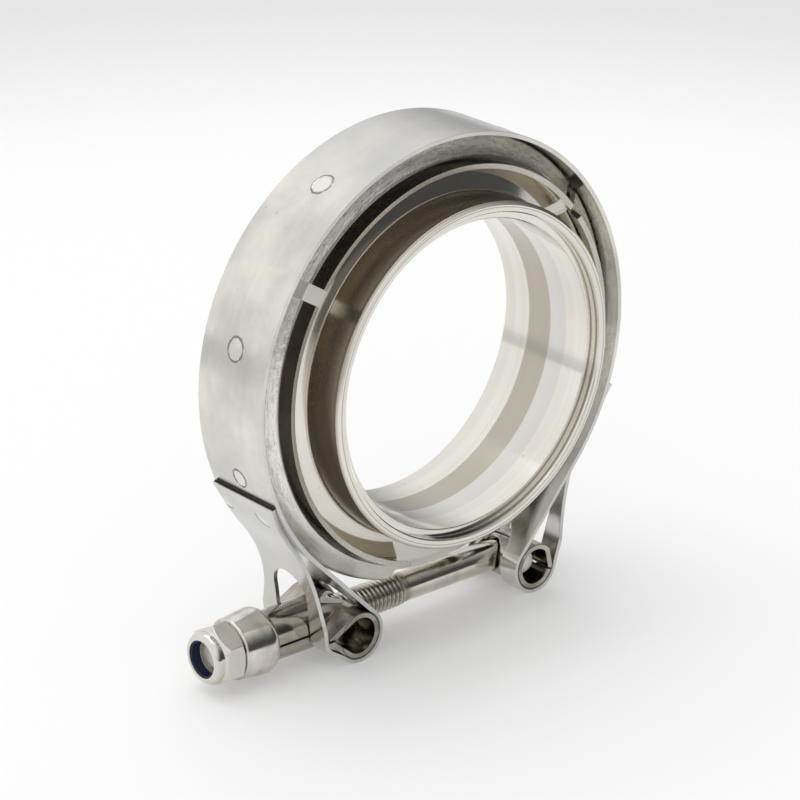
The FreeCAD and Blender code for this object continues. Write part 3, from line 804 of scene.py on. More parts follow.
@dataclass(frozen=True)
class BandFinish(SteelFinish):
    """Rolled strip: spot welds leave fine dark rings, its fold-backs' end faces are painted black as
    shade, and its top and flanks greyer as painted shade.
    """

    weld_line: float = 0.00025
    weld_disc_share: float = 0.4
    weld_line_share: float = 0.72
    weld_depth: float = 20e-6
    outer_face: Span = (BAND_RADIUS - 0.0003, BAND_RADIUS - 0.0001)
    # Painted shade: grey laid over the band's top and lower flanks, set by height.
    painted_shade_grey: Colour = (0.54, 0.54, 0.535)
    shade_crown: Span = (0.042, 0.054)
    shade_crown_share: float = 0.5
    shade_flank: Span = (0.004, -0.036)
    shade_flank_share: float = 0.75
    shade_foot: Span = (-0.046, -0.056)
    shade_foot_share: float = 0.3
    above_fold_end: Span = (-0.0235, -0.0225)
    layer_inside: Span = (BAND_RADIUS + LAYER_GAP - 0.0001, BAND_RADIUS + LAYER_GAP)
    layer_outside: Span = (BAND_RADIUS + LAYER_GAP + 0.0008, BAND_RADIUS + LAYER_GAP + 0.00065)
    fold_end_shade_share: float = 0.95
    fold_end_roughness: float = 0.4
    side_on: Span = (0.4, 0.2)
    loop_line_radius: float = 0.00579
    loop_line_share: float = 0.8

    def own_marks(self, graph: Graph, effects: Effects, round_place: bpy.types.NodeOutputs,
                  shine: Shine) -> Shine:
        """Painted shade on the top, flanks and fold-back ends, weld rings, and dark gap lines at the
        barrels.

        Args:
            graph: The material's graph.
            effects: Shared groups.
            round_place: Coordinates that the patterns follow.
            shine: What the base gives.

        Returns:
            The changed sockets.
        """
        shine = self.painted_shade_by_height(graph, shine)
        shine = self.weld_rings(graph, effects, round_place, shine)
        shine = self.painted_fold_end_shade(graph, round_place, shine)
        loops = effects.barrel_lines(graph, self.loop_line_radius)
        return replace(shine, colour=graph.tinted(
            shine.colour, loops, self.loop_line_share, JOINT_AND_SHADE_BLACK))

    def painted_shade_by_height(self, graph: Graph, shine: Shine) -> Shine:
        """Painted shade: greyer colour on the ring's top and lower flanks, less at its foot.

        Args:
            graph: The material's graph.
            shine: What it has so far.

        Returns:
            The changed sockets.
        """
        level = graph.split(graph.place())["Z"]
        shade_by_height = graph.total(
            graph.product(graph.remap(level, self.shade_flank, (0.0, self.shade_flank_share)),
                          graph.remap(level, self.shade_foot, (1.0, self.shade_foot_share))),
            graph.remap(level, self.shade_crown, (0.0, self.shade_crown_share)))
        return replace(shine, colour=graph.mix(shade_by_height, shine.colour, self.painted_shade_grey))

    def weld_rings(self, graph: Graph, effects: Effects, round_place: bpy.types.NodeOutputs,
                   shine: Shine) -> Shine:
        """Dark, sunken rings round bright discs, on the outer face only.

        Args:
            graph: The material's graph.
            effects: Shared groups.
            round_place: Coordinates that the patterns follow.
            shine: What it has so far.

        Returns:
            The changed sockets.
        """
        marks = [
            graph.group(effects.weld_ring, {
                "Vector": round_place["Vector"], "Arc": weld.arc(), "Along": weld.along,
                "Radius": weld.radius, "Line": self.weld_line, "Toward": weld.toward,
                "Keep": weld.keep})
            for weld in WELDS
        ]
        outside = graph.remap(round_place["Distance"], self.outer_face)
        line = graph.product(graph.most([mark["Line"] for mark in marks]), outside)
        disc = graph.product(graph.most([mark["Inside"] for mark in marks]), outside)
        colour = graph.tinted(shine.colour, disc, self.weld_disc_share, WORN_EDGE)
        colour = graph.tinted(colour, line, self.weld_line_share, BURNT)
        height = graph.math("SUBTRACT", shine.height, graph.product(line, self.weld_depth))
        return replace(shine, colour=colour, height=height)

    def painted_fold_end_shade(self, graph: Graph, round_place: bpy.types.NodeOutputs, shine: Shine) -> Shine:
        """Painted shade: near-black, dull end faces where the folded strip lies on the ring.

        Args:
            graph: The material's graph.
            round_place: Coordinates that the patterns follow.
            shine: What it has so far.

        Returns:
            The changed sockets.
        """
        end = graph.product(
            graph.remap(graph.facing(graph.outward()), self.side_on),
            graph.remap(graph.facing(PIPE_AXIS), self.side_on),
            graph.remap(graph.split(graph.place())["Z"], self.above_fold_end),
            graph.remap(round_place["Distance"], self.layer_inside),
            graph.remap(round_place["Distance"], self.layer_outside))
        # Painted shade: the fold-backs' end faces are tinted near-black.
        colour = graph.tinted(shine.colour, end, self.fold_end_shade_share, JOINT_AND_SHADE_BLACK)
        rough = graph.total(shine.roughness, graph.product(end, self.fold_end_roughness),
                            clamp=True)
        return replace(shine, colour=colour, roughness=rough)


@dataclass(frozen=True)
class FlangeFinish(SteelFinish):
    """Turned steel: painted reflection bands in the bore, turned lines, and a painted brown reflection
    on the tube outside.
    """

    bore_wall: Span = (0.0370, 0.0368)
    grey_start: Span = (-0.0115, -0.0109)
    stripe_start: Span = (-0.0060, -0.0056)
    stripe_end: Span = (0.0015, 0.0013)
    # Painted reflection: a tan band in the bore, and a grey band beside it.
    bore_tan_reflection: Colour = (0.40, 0.365, 0.295)
    tan_reflection_share: float = 0.8
    stripe_roughness: float = 0.06
    bore_grey_reflection: Colour = (0.60, 0.60, 0.59)
    grey_reflection_share: float = 0.6
    socket_floor: float = -0.0192
    corner_line: Span = (0.00022, 0.000396)
    face_line_radius: float = 0.0396
    face_line: Span = (0.000066, 0.000176)
    face_line_share: float = 0.8
    line_tint: Colour = (0.225, 0.195, 0.150)
    line_share: float = 0.75
    tube_radius: float = 0.0409
    tube_face: Span = (0.0003, 0.0005)
    # Painted reflection: brown over the tube's outer surface.
    tube_painted_reflection: Colour = (0.47, 0.41, 0.325)
    tube_reflection_share: float = 0.75
    tube_roughness: float = 0.14

    def own_marks(self, graph: Graph, effects: Effects, round_place: bpy.types.NodeOutputs,
                  shine: Shine) -> Shine:
        """Painted reflection bands round the bore, turned lines, and painted reflection on the tube's
        outer surface.

        Args:
            graph: The material's graph.
            effects: Shared groups; not used here.
            round_place: Coordinates that the patterns follow.
            shine: What the base gives.

        Returns:
            The changed sockets.
        """
        in_bore = graph.remap(round_place["Distance"], self.bore_wall)
        shine = self.painted_bore_reflections(graph, round_place["Along"], in_bore, shine)
        corner = graph.product(
            graph.near(round_place["Along"], self.socket_floor, self.corner_line),
            graph.flip(in_bore))
        turned = graph.near(round_place["Distance"], self.face_line_radius, self.face_line)
        lines = graph.most([corner, graph.product(turned, self.face_line_share)])
        colour = graph.tinted(shine.colour, lines, self.line_share, self.line_tint)
        # Painted reflection on the tube's outer surface.
        tube = graph.near(round_place["Distance"], self.tube_radius, self.tube_face)
        colour = graph.tinted(colour, tube, self.tube_reflection_share, self.tube_painted_reflection)
        rough = graph.total(shine.roughness, graph.product(tube, self.tube_roughness))
        return replace(shine, colour=colour, roughness=rough)

    def painted_bore_reflections(self, graph: Graph, along: Socket, in_bore: Socket, shine: Shine) -> Shine:
        """Painted reflection bands: a grey one and a darker tan one beside it, round the bore.

        Args:
            graph: The material's graph.
            along: Place along the pipe.
            in_bore: Mask of the bore's wall.
            shine: What it has so far.

        Returns:
            The changed sockets.
        """
        past_start = graph.remap(along, self.stripe_start)
        stripe = graph.product(past_start, graph.remap(along, self.stripe_end), in_bore)
        grey = graph.product(graph.remap(along, self.grey_start), graph.flip(past_start), in_bore)
        colour = graph.tinted(shine.colour, stripe, self.tan_reflection_share, self.bore_tan_reflection)
        colour = graph.tinted(colour, grey, self.grey_reflection_share, self.bore_grey_reflection)
        rough = graph.total(shine.roughness, graph.product(stripe, self.stripe_roughness))
        return replace(shine, colour=colour, roughness=rough)


@dataclass(frozen=True)
class SegmentFinish(SteelFinish):
    """Pressed sheet: crumpled and scuffed down the legs with painted shade in the crumples' hollows,
    and a painted dark reflection on the lips.
    """

    leg: Span = (0.0482, 0.0488)
    leg_share: float = 0.75
    leg_roughness: float = 0.14
    crumple_stretch: Sequence[float] = (0.3, 1.0, 1.0)
    crumple_scale: float = 2500.0
    crumple_depth: float = 70e-6
    # Painted shade: darker where the crumples and patches sink.
    crumple_hollow_shade: Span = (0.52, 0.38)
    score_scale: float = 1700.0
    score_depth: float = 84e-6
    score_turn: Sequence[float] = (0.0, 0.6, 0.5)
    score_stretch: Sequence[float] = (0.12, 1.0, 1.0)
    score_dark: Span = (0.46, 0.36)
    score_light: Span = (0.52, 0.60)
    patch_scale: float = 420.0
    patch_depth: float = 210e-6
    patch_hollow_shade: Span = (0.60, 0.40)
    patch_least: float = 0.25
    hollow_shade_and_score_share: float = 0.55
    light_share: float = 0.7
    worked: Span = (-0.034, -0.008)
    smooth_share: float = 0.22
    # Painted reflection: near-black on the lips' outward faces.
    lip_painted_reflection: Colour = (0.055, 0.047, 0.038)
    lip_facing: Span = (0.55, 0.8)
    lip_reflection_share: float = 0.93
    cut_facing: Span = (0.88, 0.95)
    cut_roughness: float = 0.2
    pit_scale: float = 3800.0
    pits: Span = (0.56, 0.46)
    pit_share: float = 0.6
    pit_depth: float = 12e-6

    def own_marks(self, graph: Graph, effects: Effects, round_place: bpy.types.NodeOutputs,
                  shine: Shine) -> Shine:
        """Crumples and drawing lines on the legs, dark lips and grainy sheared edges.

        Args:
            graph: The material's graph.
            effects: Shared groups; not used here.
            round_place: Coordinates that the patterns follow.
            shine: What the base gives.

        Returns:
            The changed sockets.
        """
        leg = graph.remap(round_place["Distance"], self.leg)
        shine = self.crumpled_legs(graph, round_place["Vector"], leg, shine)
        out = graph.vector("DOT_PRODUCT", graph.normal(), graph.outward())
        lip = graph.product(graph.remap(out, self.lip_facing), graph.flip(leg))
        # Painted reflection: the lips are tinted near-black.
        shine = replace(shine, colour=graph.tinted(
            shine.colour, lip, self.lip_reflection_share, self.lip_painted_reflection))
        return self.cut_edges(graph, shine)

    def crumpled_legs(self, graph: Graph, place: Socket, leg: Socket, shine: Shine) -> Shine:
        """Crumples, drawing lines and patches, fainter on the lower legs, with painted shade in the
        hollows.

        Args:
            graph: The material's graph.
            place: Coordinates round the pipe.
            leg: Mask of the legs.
            shine: What it has so far.

        Returns:
            The changed sockets.
        """
        drawn = graph.vector("MULTIPLY", place, self.crumple_stretch)
        crumple = graph.noise(drawn, self.crumple_scale, detail=5.0, roughness=0.68)
        slanted = graph.add("Mapping", {"Vector": place, "Rotation": self.score_turn,
                                        "Scale": self.score_stretch}).outputs[0]
        scored = graph.noise(slanted, self.score_scale, detail=4.0, roughness=0.65)
        patches = graph.noise(place, self.patch_scale, detail=3.0, roughness=0.6)
        level = graph.split(graph.place())["Z"]
        worked = graph.product(graph.remap(level, self.worked, (self.smooth_share, 1.0)), leg)
        rise = graph.total(
            graph.product(crumple, self.crumple_depth), graph.product(scored, self.score_depth),
            graph.product(patches, self.patch_depth))
        # Painted shade in the crumples' and patches' hollows, joined with the dark drawing lines.
        hollow_shade = graph.product(graph.remap(crumple, self.crumple_hollow_shade),
                              graph.remap(patches, self.patch_hollow_shade, (self.patch_least, 1.0)))
        dark = graph.most([hollow_shade, graph.remap(scored, self.score_dark)])
        light = graph.remap(scored, self.score_light)
        colour = graph.tinted(shine.colour, leg, self.leg_share, WORN_EDGE)
        colour = graph.tinted(colour, graph.product(dark, worked), self.hollow_shade_and_score_share,
                              self.dark_tint)
        colour = graph.tinted(colour, graph.product(light, worked), self.light_share, WORN_EDGE)
        rough = graph.total(shine.roughness, graph.product(leg, self.leg_roughness))
        height = graph.total(shine.height, graph.product(rise, worked))
        return replace(shine, colour=colour, roughness=rough, height=height)

    def cut_edges(self, graph: Graph, shine: Shine) -> Shine:
        """Dull, pitted edges that face along the pipe.

        Args:
            graph: The material's graph.
            shine: What it has so far.

        Returns:
            The changed sockets.
        """
        cut = graph.remap(graph.facing(PIPE_AXIS), self.cut_facing)
        grains = graph.noise(graph.place(), self.pit_scale, detail=3.0, roughness=0.7)
        pitted = graph.product(cut, graph.remap(grains, self.pits))
        colour = graph.tinted(shine.colour, pitted, self.pit_share, self.dark_tint)
        rough = graph.total(shine.roughness, graph.product(cut, self.cut_roughness))
        height = graph.math("SUBTRACT", shine.height, graph.product(pitted, self.pit_depth))
        return replace(shine, colour=colour, roughness=rough, height=height)


@dataclass(frozen=True)
class BoltFinish(SteelFinish):
    """Rolled thread: bright crests over dull, darker roots."""

    root: Span = (BOLT_RADIUS, 0.00334)
    root_share: float = 0.6
    root_roughness: float = 0.15
    threaded: Span = (-0.0312, -0.0324)
    tail_face: Span = (-0.0864, -0.0868)
    bar_face: Span = (0.00816, 0.00820)
    # Painted light: a pale tint on the end faces of the bolt and its bar, over their rougher finish.
    end_painted_light_tint: Colour = (0.88, 0.87, 0.83)
    end_roughness: float = 0.3

    def own_marks(self, graph: Graph, effects: Effects, round_place: bpy.types.NodeOutputs,
                  shine: Shine) -> Shine:
        """Dark, dull roots of the thread and bright end faces of the bolt and its bar.

        Args:
            graph: The material's graph.
            effects: Shared groups; not used here.
            round_place: Coordinates that the patterns follow.
            shine: What the base gives.

        Returns:
            The changed sockets.
        """
        along = round_place["Along"]
        root = graph.product(graph.remap(round_place["Distance"], self.root),
                             graph.remap(along, self.threaded))
        across = graph.math("ABSOLUTE", graph.split(graph.place())["Y"])
        end = graph.most([graph.remap(along, self.tail_face), graph.remap(across, self.bar_face)])
        colour = graph.tinted(shine.colour, root, self.root_share, self.dark_tint)
        # Painted light on the end faces.
        colour = graph.mix(end, colour, self.end_painted_light_tint)
        rough = graph.total(shine.roughness, graph.product(root, self.root_roughness),
                            graph.product(end, self.end_roughness), clamp=True)
        return replace(shine, colour=colour, roughness=rough)


@dataclass(frozen=True)
class TrunnionFinish(SteelFinish):
    """Rolled sheet: the two sheet ends meet in a dark seam along the open neck."""

    seam_height: float = -0.0005
    seam_line: Span = (0.000252, 0.000432)
    seam_front: Span = (-0.0045, -0.0048)
    seam_end: Span = (-0.0338, -0.0344)
    seam_share: float = 0.9
    rim_line_radius: float = 0.00556
    rim_line_share: float = 0.8

    def own_marks(self, graph: Graph, effects: Effects, round_place: bpy.types.NodeOutputs,
                  shine: Shine) -> Shine:
        """Dark line along the front of the neck's seam, and round the barrels' rims.

        Args:
            graph: The material's graph.
            effects: Shared groups.
            round_place: Coordinates that the patterns follow.
            shine: What the base gives.

        Returns:
            The changed sockets.
        """
        place = graph.place()
        up = (math.sin(BOLT_TILT), 0.0, math.cos(BOLT_TILT))
        above = graph.vector("DOT_PRODUCT", graph.vector("SUBTRACT", place, BAR_MIDDLE), up)
        parts = graph.split(place)
        seam = graph.product(
            graph.near(above, self.seam_height, self.seam_line),
            graph.remap(parts["Y"], self.seam_front), graph.remap(parts["X"], self.seam_end))
        colour = graph.tinted(shine.colour, seam, self.seam_share, JOINT_AND_SHADE_BLACK)
        rims = effects.barrel_lines(graph, self.rim_line_radius)
        return replace(shine, colour=graph.tinted(colour, rims, self.rim_line_share, JOINT_AND_SHADE_BLACK))


@dataclass(frozen=True)
class NylonFinish:
    """Dyed nylon of the nut's insert."""

    slot: str = "nylon"
    colour: Colour = (0.002, 0.004, 0.034)
    light_colour: Colour = (0.008, 0.014, 0.090)
    roughness: float = 0.36
    refraction: float = 1.4
    cloud_scale: float = 500.0
    cloud_light: float = 0.35
    cloud_roughness: float = 0.12
    spot_scale: float = 2600.0
    spot_depth: float = 6e-6
    edge_radius: float = 0.0001
    edge_light: float = 0.5

    def build(self, effects: Effects) -> bpy.types.Material:
        """Build the slot's material.

        Args:
            effects: Shared groups.

        Returns:
            The material.
        """
        material, graph = new_material(self.slot)
        clouds = graph.group(effects.clouds, {
            "Vector": graph.place(), "Scale": self.cloud_scale, "Spots": self.spot_scale})
        edges = graph.group(effects.edges, {"Radius": self.edge_radius})
        light = graph.total(graph.product(clouds["Cloud"], self.cloud_light),
                            graph.product(edges["Edge"], self.edge_light), clamp=True)
        colour = graph.mix(light, self.colour, self.light_colour)
        rough = graph.total(graph.product(clouds["Cloud"], self.cloud_roughness), self.roughness)
        height = graph.product(clouds["Spot"], self.spot_depth)
        shine = Shine(colour, rough, height, edges["Normal"])
        close_material(graph, shine, {"IOR": self.refraction})
        return material


def finishes() -> list[SteelFinish | NylonFinish]:
    """Set the finish of each of the record's slots.

    Returns:
        The finishes.
    """
    sheet = dict(grain_scale=7000.0, grain_stretch=0.06, scratch_scale=700.0,
                 cloud_scale=55.0, spot_scale=420.0, edge_radius=0.00018)
    return [
        BandFinish("band_steel", Layout.PIPE, CREAM_STEEL, GREY_STEEL, roughness=0.17,
                   roughness_spread=0.14, grain_depth=0.7e-6, streak_depth=0.08,
                   scratch_amount=0.7, cloud_tone=0.85, spot_tone=0.5, edge_light=0.6, **sheet),
        SegmentFinish("segment_steel", Layout.PIPE, STEEL, DARK_STEEL, roughness=0.11,
                      roughness_spread=0.10, grain_depth=0.8e-6, streak_depth=0.15,
                      scratch_amount=0.9, cloud_tone=0.25, spot_tone=0.3, edge_light=0.7, **sheet),
        FlangeFinish("flange_steel", Layout.PIPE, FLANGE_STEEL, DARK_STEEL,
                     roughness=0.085, roughness_spread=0.06, grain_scale=5200.0,
                     grain_stretch=0.004, grain_depth=0.6e-6, streak_depth=0.12,
                     scratch_scale=500.0, scratch_amount=0.4, cloud_scale=45.0, cloud_tone=0.15,
                     spot_scale=350.0, spot_tone=0.3, edge_radius=0.0002, edge_light=0.5),
        TrunnionFinish("trunnion_steel", Layout.SHEET, TRUNNION_SHADED_STEEL, TRUNNION_DARK,
                       roughness=0.11, roughness_spread=0.12, grain_scale=6000.0,
                       grain_stretch=0.1, grain_depth=1.4e-6, streak_depth=0.35,
                       scratch_scale=900.0, scratch_amount=0.8, cloud_scale=110.0,
                       cloud_tone=0.5, spot_scale=500.0, spot_tone=0.4, edge_radius=0.00025,
                       edge_light=0.6),
        BoltFinish("bolt_steel", Layout.BOLT, BOLT_STEEL, THREAD_ROOT,
                   roughness=0.14, roughness_spread=0.12, grain_scale=4000.0, grain_stretch=0.2,
                   grain_depth=1.0e-6, streak_depth=0.15, scratch_scale=1200.0,
                   scratch_amount=0.8, cloud_scale=160.0, cloud_tone=0.2, spot_scale=900.0,
                   spot_tone=0.4, edge_radius=0.00012, edge_light=0.5),
        SteelFinish("collar_steel", Layout.BOLT, COLLAR_STEEL, COLLAR_DARK,
                    roughness=0.13, roughness_spread=0.12, grain_scale=5000.0,
                    grain_stretch=0.05, grain_depth=1.2e-6, streak_depth=0.2,
                    scratch_scale=900.0, scratch_amount=0.6, cloud_scale=170.0, cloud_tone=0.6,
                    spot_scale=600.0, spot_tone=0.35, edge_radius=0.0004, edge_light=0.4),
        SteelFinish("nut_steel", Layout.BOLT, NUT_STEEL, DARK_STEEL, roughness=0.075,
                    roughness_spread=0.07, grain_scale=3500.0, grain_stretch=0.1,
                    grain_depth=0.8e-6, streak_depth=0.12, scratch_scale=900.0,
                    scratch_amount=0.6, cloud_scale=150.0, cloud_tone=0.15, spot_scale=800.0,
                    spot_tone=0.3, edge_radius=0.0003, edge_light=0.5),
        NylonFinish(),
    ]


# Pieces


def scene_object(name: str, data: bpy.types.ID) -> bpy.types.Object:
    """Put an object in the scene.

    Args:
        name: Its name.
        data: Its mesh, lamp or camera.

    Returns:
        The object.
    """
    placed = bpy.data.objects.new(name, data)
    bpy.context.scene.collection.objects.link(placed)
    return placed


def mesh_data(name: str, mesh: bmesh.types.BMesh) -> bpy.types.Mesh:
    """Turn a bmesh into a mesh, and free it.

    Args:
        name: The mesh's name.
        mesh: What it holds.

    Returns:
        The mesh.
    """
    data = bpy.data.meshes.new(name)
    mesh.to_mesh(data)
    mesh.free()
    return data


def finished_object(name: str, mesh: bmesh.types.BMesh,
                    materials: dict[str, bpy.types.Material], slot: str,
                    sharp_angle: float = 35.0) -> bpy.types.Object:
    """Put a finished mesh in the scene, on the clamp.

    Args:
        name: The piece's name.
        mesh: Mesh in place, in metres. It is freed.
        materials: Material of each slot.
        slot: The record's slot that its finish comes from.
        sharp_angle: Angle in degrees between faces past which an edge stays sharp.

    Returns:
        The object.
    """
    data = mesh_data(name, mesh)
    data.shade_smooth()
    data.set_sharp_from_angle(angle=math.radians(sharp_angle))
    data.materials.append(materials[slot])
    piece = scene_object(name, data)
    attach(piece, CLAMP)
    LOG.info("%s: %d faces", name, len(data.polygons))
    return piece


def outward(mesh: bmesh.types.BMesh) -> None:
    """Merge doubled vertices and point the faces outwards."""
    bmesh.ops.remove_doubles(mesh, verts=mesh.verts, dist=SAME_PLACE)
    bmesh.ops.recalc_face_normals(mesh, faces=mesh.faces)


@dataclass
class ThreadedBolt:
    """T-bolt: rolled thread, plain shank and the round bar across its head end."""

    axis_height: float = BAR_MIDDLE[2]
    tilt: float = BOLT_TILT
    tail_x: float = -0.0607
    bar_x: float = BAR_MIDDLE[0]
    thread_end_x: float = -0.005
    runout: float = 0.0026
    major_radius: float = BOLT_RADIUS
    shank_radius: float = 0.0036
    pitch: float = 0.00125
    depth: float = 0.00068
    tail_chamfer: float = 0.0010
    bar_radius: float = 0.003
    bar_length: float = 0.0165
    bar_chamfer: float = 0.0005
    bar_sides: int = 64
    chamfer_steps: int = 3
    steps_a_turn: int = 48
    spare_turns: int = 2
    turn_gap: float = 1e-6
    cut_gap: float = 1e-8
    sharp_angle: float = 30.0
    profile: Sequence[tuple[float, float]] = (
        (0.0, 0.0), (0.03, -0.03), (0.095, -0.03), (0.125, 0.0), (0.42, 0.95), (0.5, 1.0),
        (0.6125, 1.0), (0.6925, 0.95),
    )

    def groove(self, x: float) -> float:
        """Share of the thread's full form at a place along the bolt."""
        share = min(max((self.thread_end_x - x) / self.runout, 0.0), 1.0)
        return share * share * (3 - 2 * share)

    def screw(self) -> bmesh.types.BMesh:
        """Helical surface from beyond the tail to beyond the bar's middle.

        Returns:
            The mesh, open at both ends.
        """
        mesh = bmesh.new()
        start = self.tail_x - self.spare_turns * self.pitch
        spots = [(along * self.pitch, drop) for along, drop in self.profile] + [(self.pitch, 0.0)]
        line = [
            mesh.verts.new((start + along, 0.0, self.major_radius - drop * self.depth))
            for along, drop in spots
        ]
        edges = [mesh.edges.new(pair) for pair in zip(line, line[1:])]
        bmesh.ops.spin(
            mesh, geom=line + edges, cent=(0, 0, 0), axis=(1, 0, 0),
            dvec=(self.pitch / self.steps_a_turn, 0, 0), angle=2 * math.pi,
            steps=self.steps_a_turn, use_merge=False, use_duplicate=False,
        )
        one_turn = mesh.verts[:] + mesh.edges[:] + mesh.faces[:]
        turns = math.ceil((self.bar_x - start) / self.pitch) + 1
        for number in range(1, turns):
            copied = bmesh.ops.duplicate(mesh, geom=one_turn)["geom"]
            corners = [item for item in copied if isinstance(item, bmesh.types.BMVert)]
            bmesh.ops.translate(mesh, verts=corners, vec=(number * self.pitch, 0, 0))
        bmesh.ops.remove_doubles(mesh, verts=mesh.verts, dist=self.turn_gap)
        return mesh

    def shank(self) -> bmesh.types.BMesh:
        """Closed bolt without its bar, on its axis.

        Returns:
            The mesh.
        """
        mesh = self.screw()
        for vertex in mesh.verts:
            radius = math.hypot(vertex.co.y, vertex.co.z)
            wanted = self.shank_radius + (radius - self.shank_radius) * self.groove(vertex.co.x)
            past_chamfer = self.tail_x + self.tail_chamfer - vertex.co.x
            wanted = min(wanted, self.major_radius - max(past_chamfer, 0.0))
            vertex.co.yz *= wanted / radius
        for place, normal in ((self.tail_x, (-1, 0, 0)), (self.bar_x, (1, 0, 0))):
            cut = bmesh.ops.bisect_plane(
                mesh, geom=mesh.verts[:] + mesh.edges[:] + mesh.faces[:], dist=self.cut_gap,
                plane_co=(place, 0, 0), plane_no=normal, clear_outer=True)
            rim = [item for item in cut["geom_cut"] if isinstance(item, bmesh.types.BMEdge)]
            bmesh.ops.contextual_create(mesh, geom=rim)
        outward(mesh)
        bmesh.ops.translate(mesh, verts=mesh.verts, vec=(0, 0, self.axis_height))
        bmesh.ops.rotate(mesh, verts=mesh.verts, cent=(self.bar_x, 0, self.axis_height),
                         matrix=Matrix.Rotation(self.tilt, 3, "Y"))
        return mesh

    def bar(self) -> bmesh.types.BMesh:
        """Round bar with chamfered ends.

        Returns:
            The mesh.
        """
        mesh = bmesh.new()
        along_y = Matrix.Translation((self.bar_x, 0, self.axis_height)) @ Matrix.Rotation(
            math.pi / 2, 4, "X")
        bmesh.ops.create_cone(
            mesh, cap_ends=True, segments=self.bar_sides, radius1=self.bar_radius,
            radius2=self.bar_radius, depth=self.bar_length, matrix=along_y)
        caps = [face for face in mesh.faces if len(face.verts) > 4]
        rims = [edge for face in caps for edge in face.edges]
        bmesh.ops.bevel(mesh, geom=rims, offset=self.bar_chamfer, affect="EDGES",
                        segments=self.chamfer_steps, profile=0.5, material=-1)
        outward(mesh)
        return mesh

    def build(self, materials: dict[str, bpy.types.Material]) -> bpy.types.Object:
        """Join shank and bar into one piece that stands for the plain bolt.

        Args:
            materials: Material of each slot.

        Returns:
            The bolt.
        """
        bolt = finished_object("bolt_with_thread", self.shank(), materials, "bolt_steel",
                               self.sharp_angle)
        tool = scene_object("bar", mesh_data("bar", self.bar()))
        joint = bolt.modifiers.new("bar", "BOOLEAN")
        joint.operation = "UNION"
        joint.solver = "EXACT"
        joint.object = tool
        joined = bolt.evaluated_get(bpy.context.evaluated_depsgraph_get())
        whole = bpy.data.meshes.new_from_object(joined)
        bolt.modifiers.clear()
        bolt.data = whole
        whole.set_sharp_from_angle(angle=math.radians(self.sharp_angle))
        bpy.data.objects.remove(tool)
        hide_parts("t_bolt")
        return bolt


@dataclass
class WeldMarks:
    """Shallow rings that spot welding leaves on the band."""

    bead_radius: float = 0.00042
    stand_out: float = 0.00008
    bead_sides: int = 12
    ring_steps: int = 48

    def ring(self, mesh: bmesh.types.BMesh, weld: Weld) -> None:
        """Add one ring, bent to the band.

        Args:
            mesh: Mesh that gets the ring.
            weld: Its place and size.
        """
        upright = Matrix.Translation((weld.radius, 0, 0)) @ Matrix.Rotation(math.pi / 2, 4, "X")
        bead = bmesh.ops.create_circle(mesh, segments=self.bead_sides, radius=self.bead_radius,
                                       matrix=upright)["verts"]
        edges = list({edge for vertex in bead for edge in vertex.link_edges})
        earlier = set(mesh.verts) - set(bead)
        bmesh.ops.spin(mesh, geom=bead + edges, cent=(0, 0, 0), axis=(0, 0, 1),
                       angle=2 * math.pi, steps=self.ring_steps, use_merge=True)
        for vertex in set(mesh.verts) - earlier:
            across, along, out = vertex.co
            turn = math.radians(weld.angle) + across / BAND_RADIUS
            reach = BAND_RADIUS + out + self.stand_out - self.bead_radius
            vertex.co = (reach * math.cos(turn), along + weld.along, reach * math.sin(turn))

    def build(self, materials: dict[str, bpy.types.Material]) -> bpy.types.Object:
        """Build every whole ring as one piece on the band.

        Args:
            materials: Material of each slot.

        Returns:
            The marks.
        """
        mesh = bmesh.new()
        for weld in WELDS:
            if weld.whole():
                self.ring(mesh, weld)
        outward(mesh)
        return finished_object("weld_marks", mesh, materials, "band_steel")


# Studio


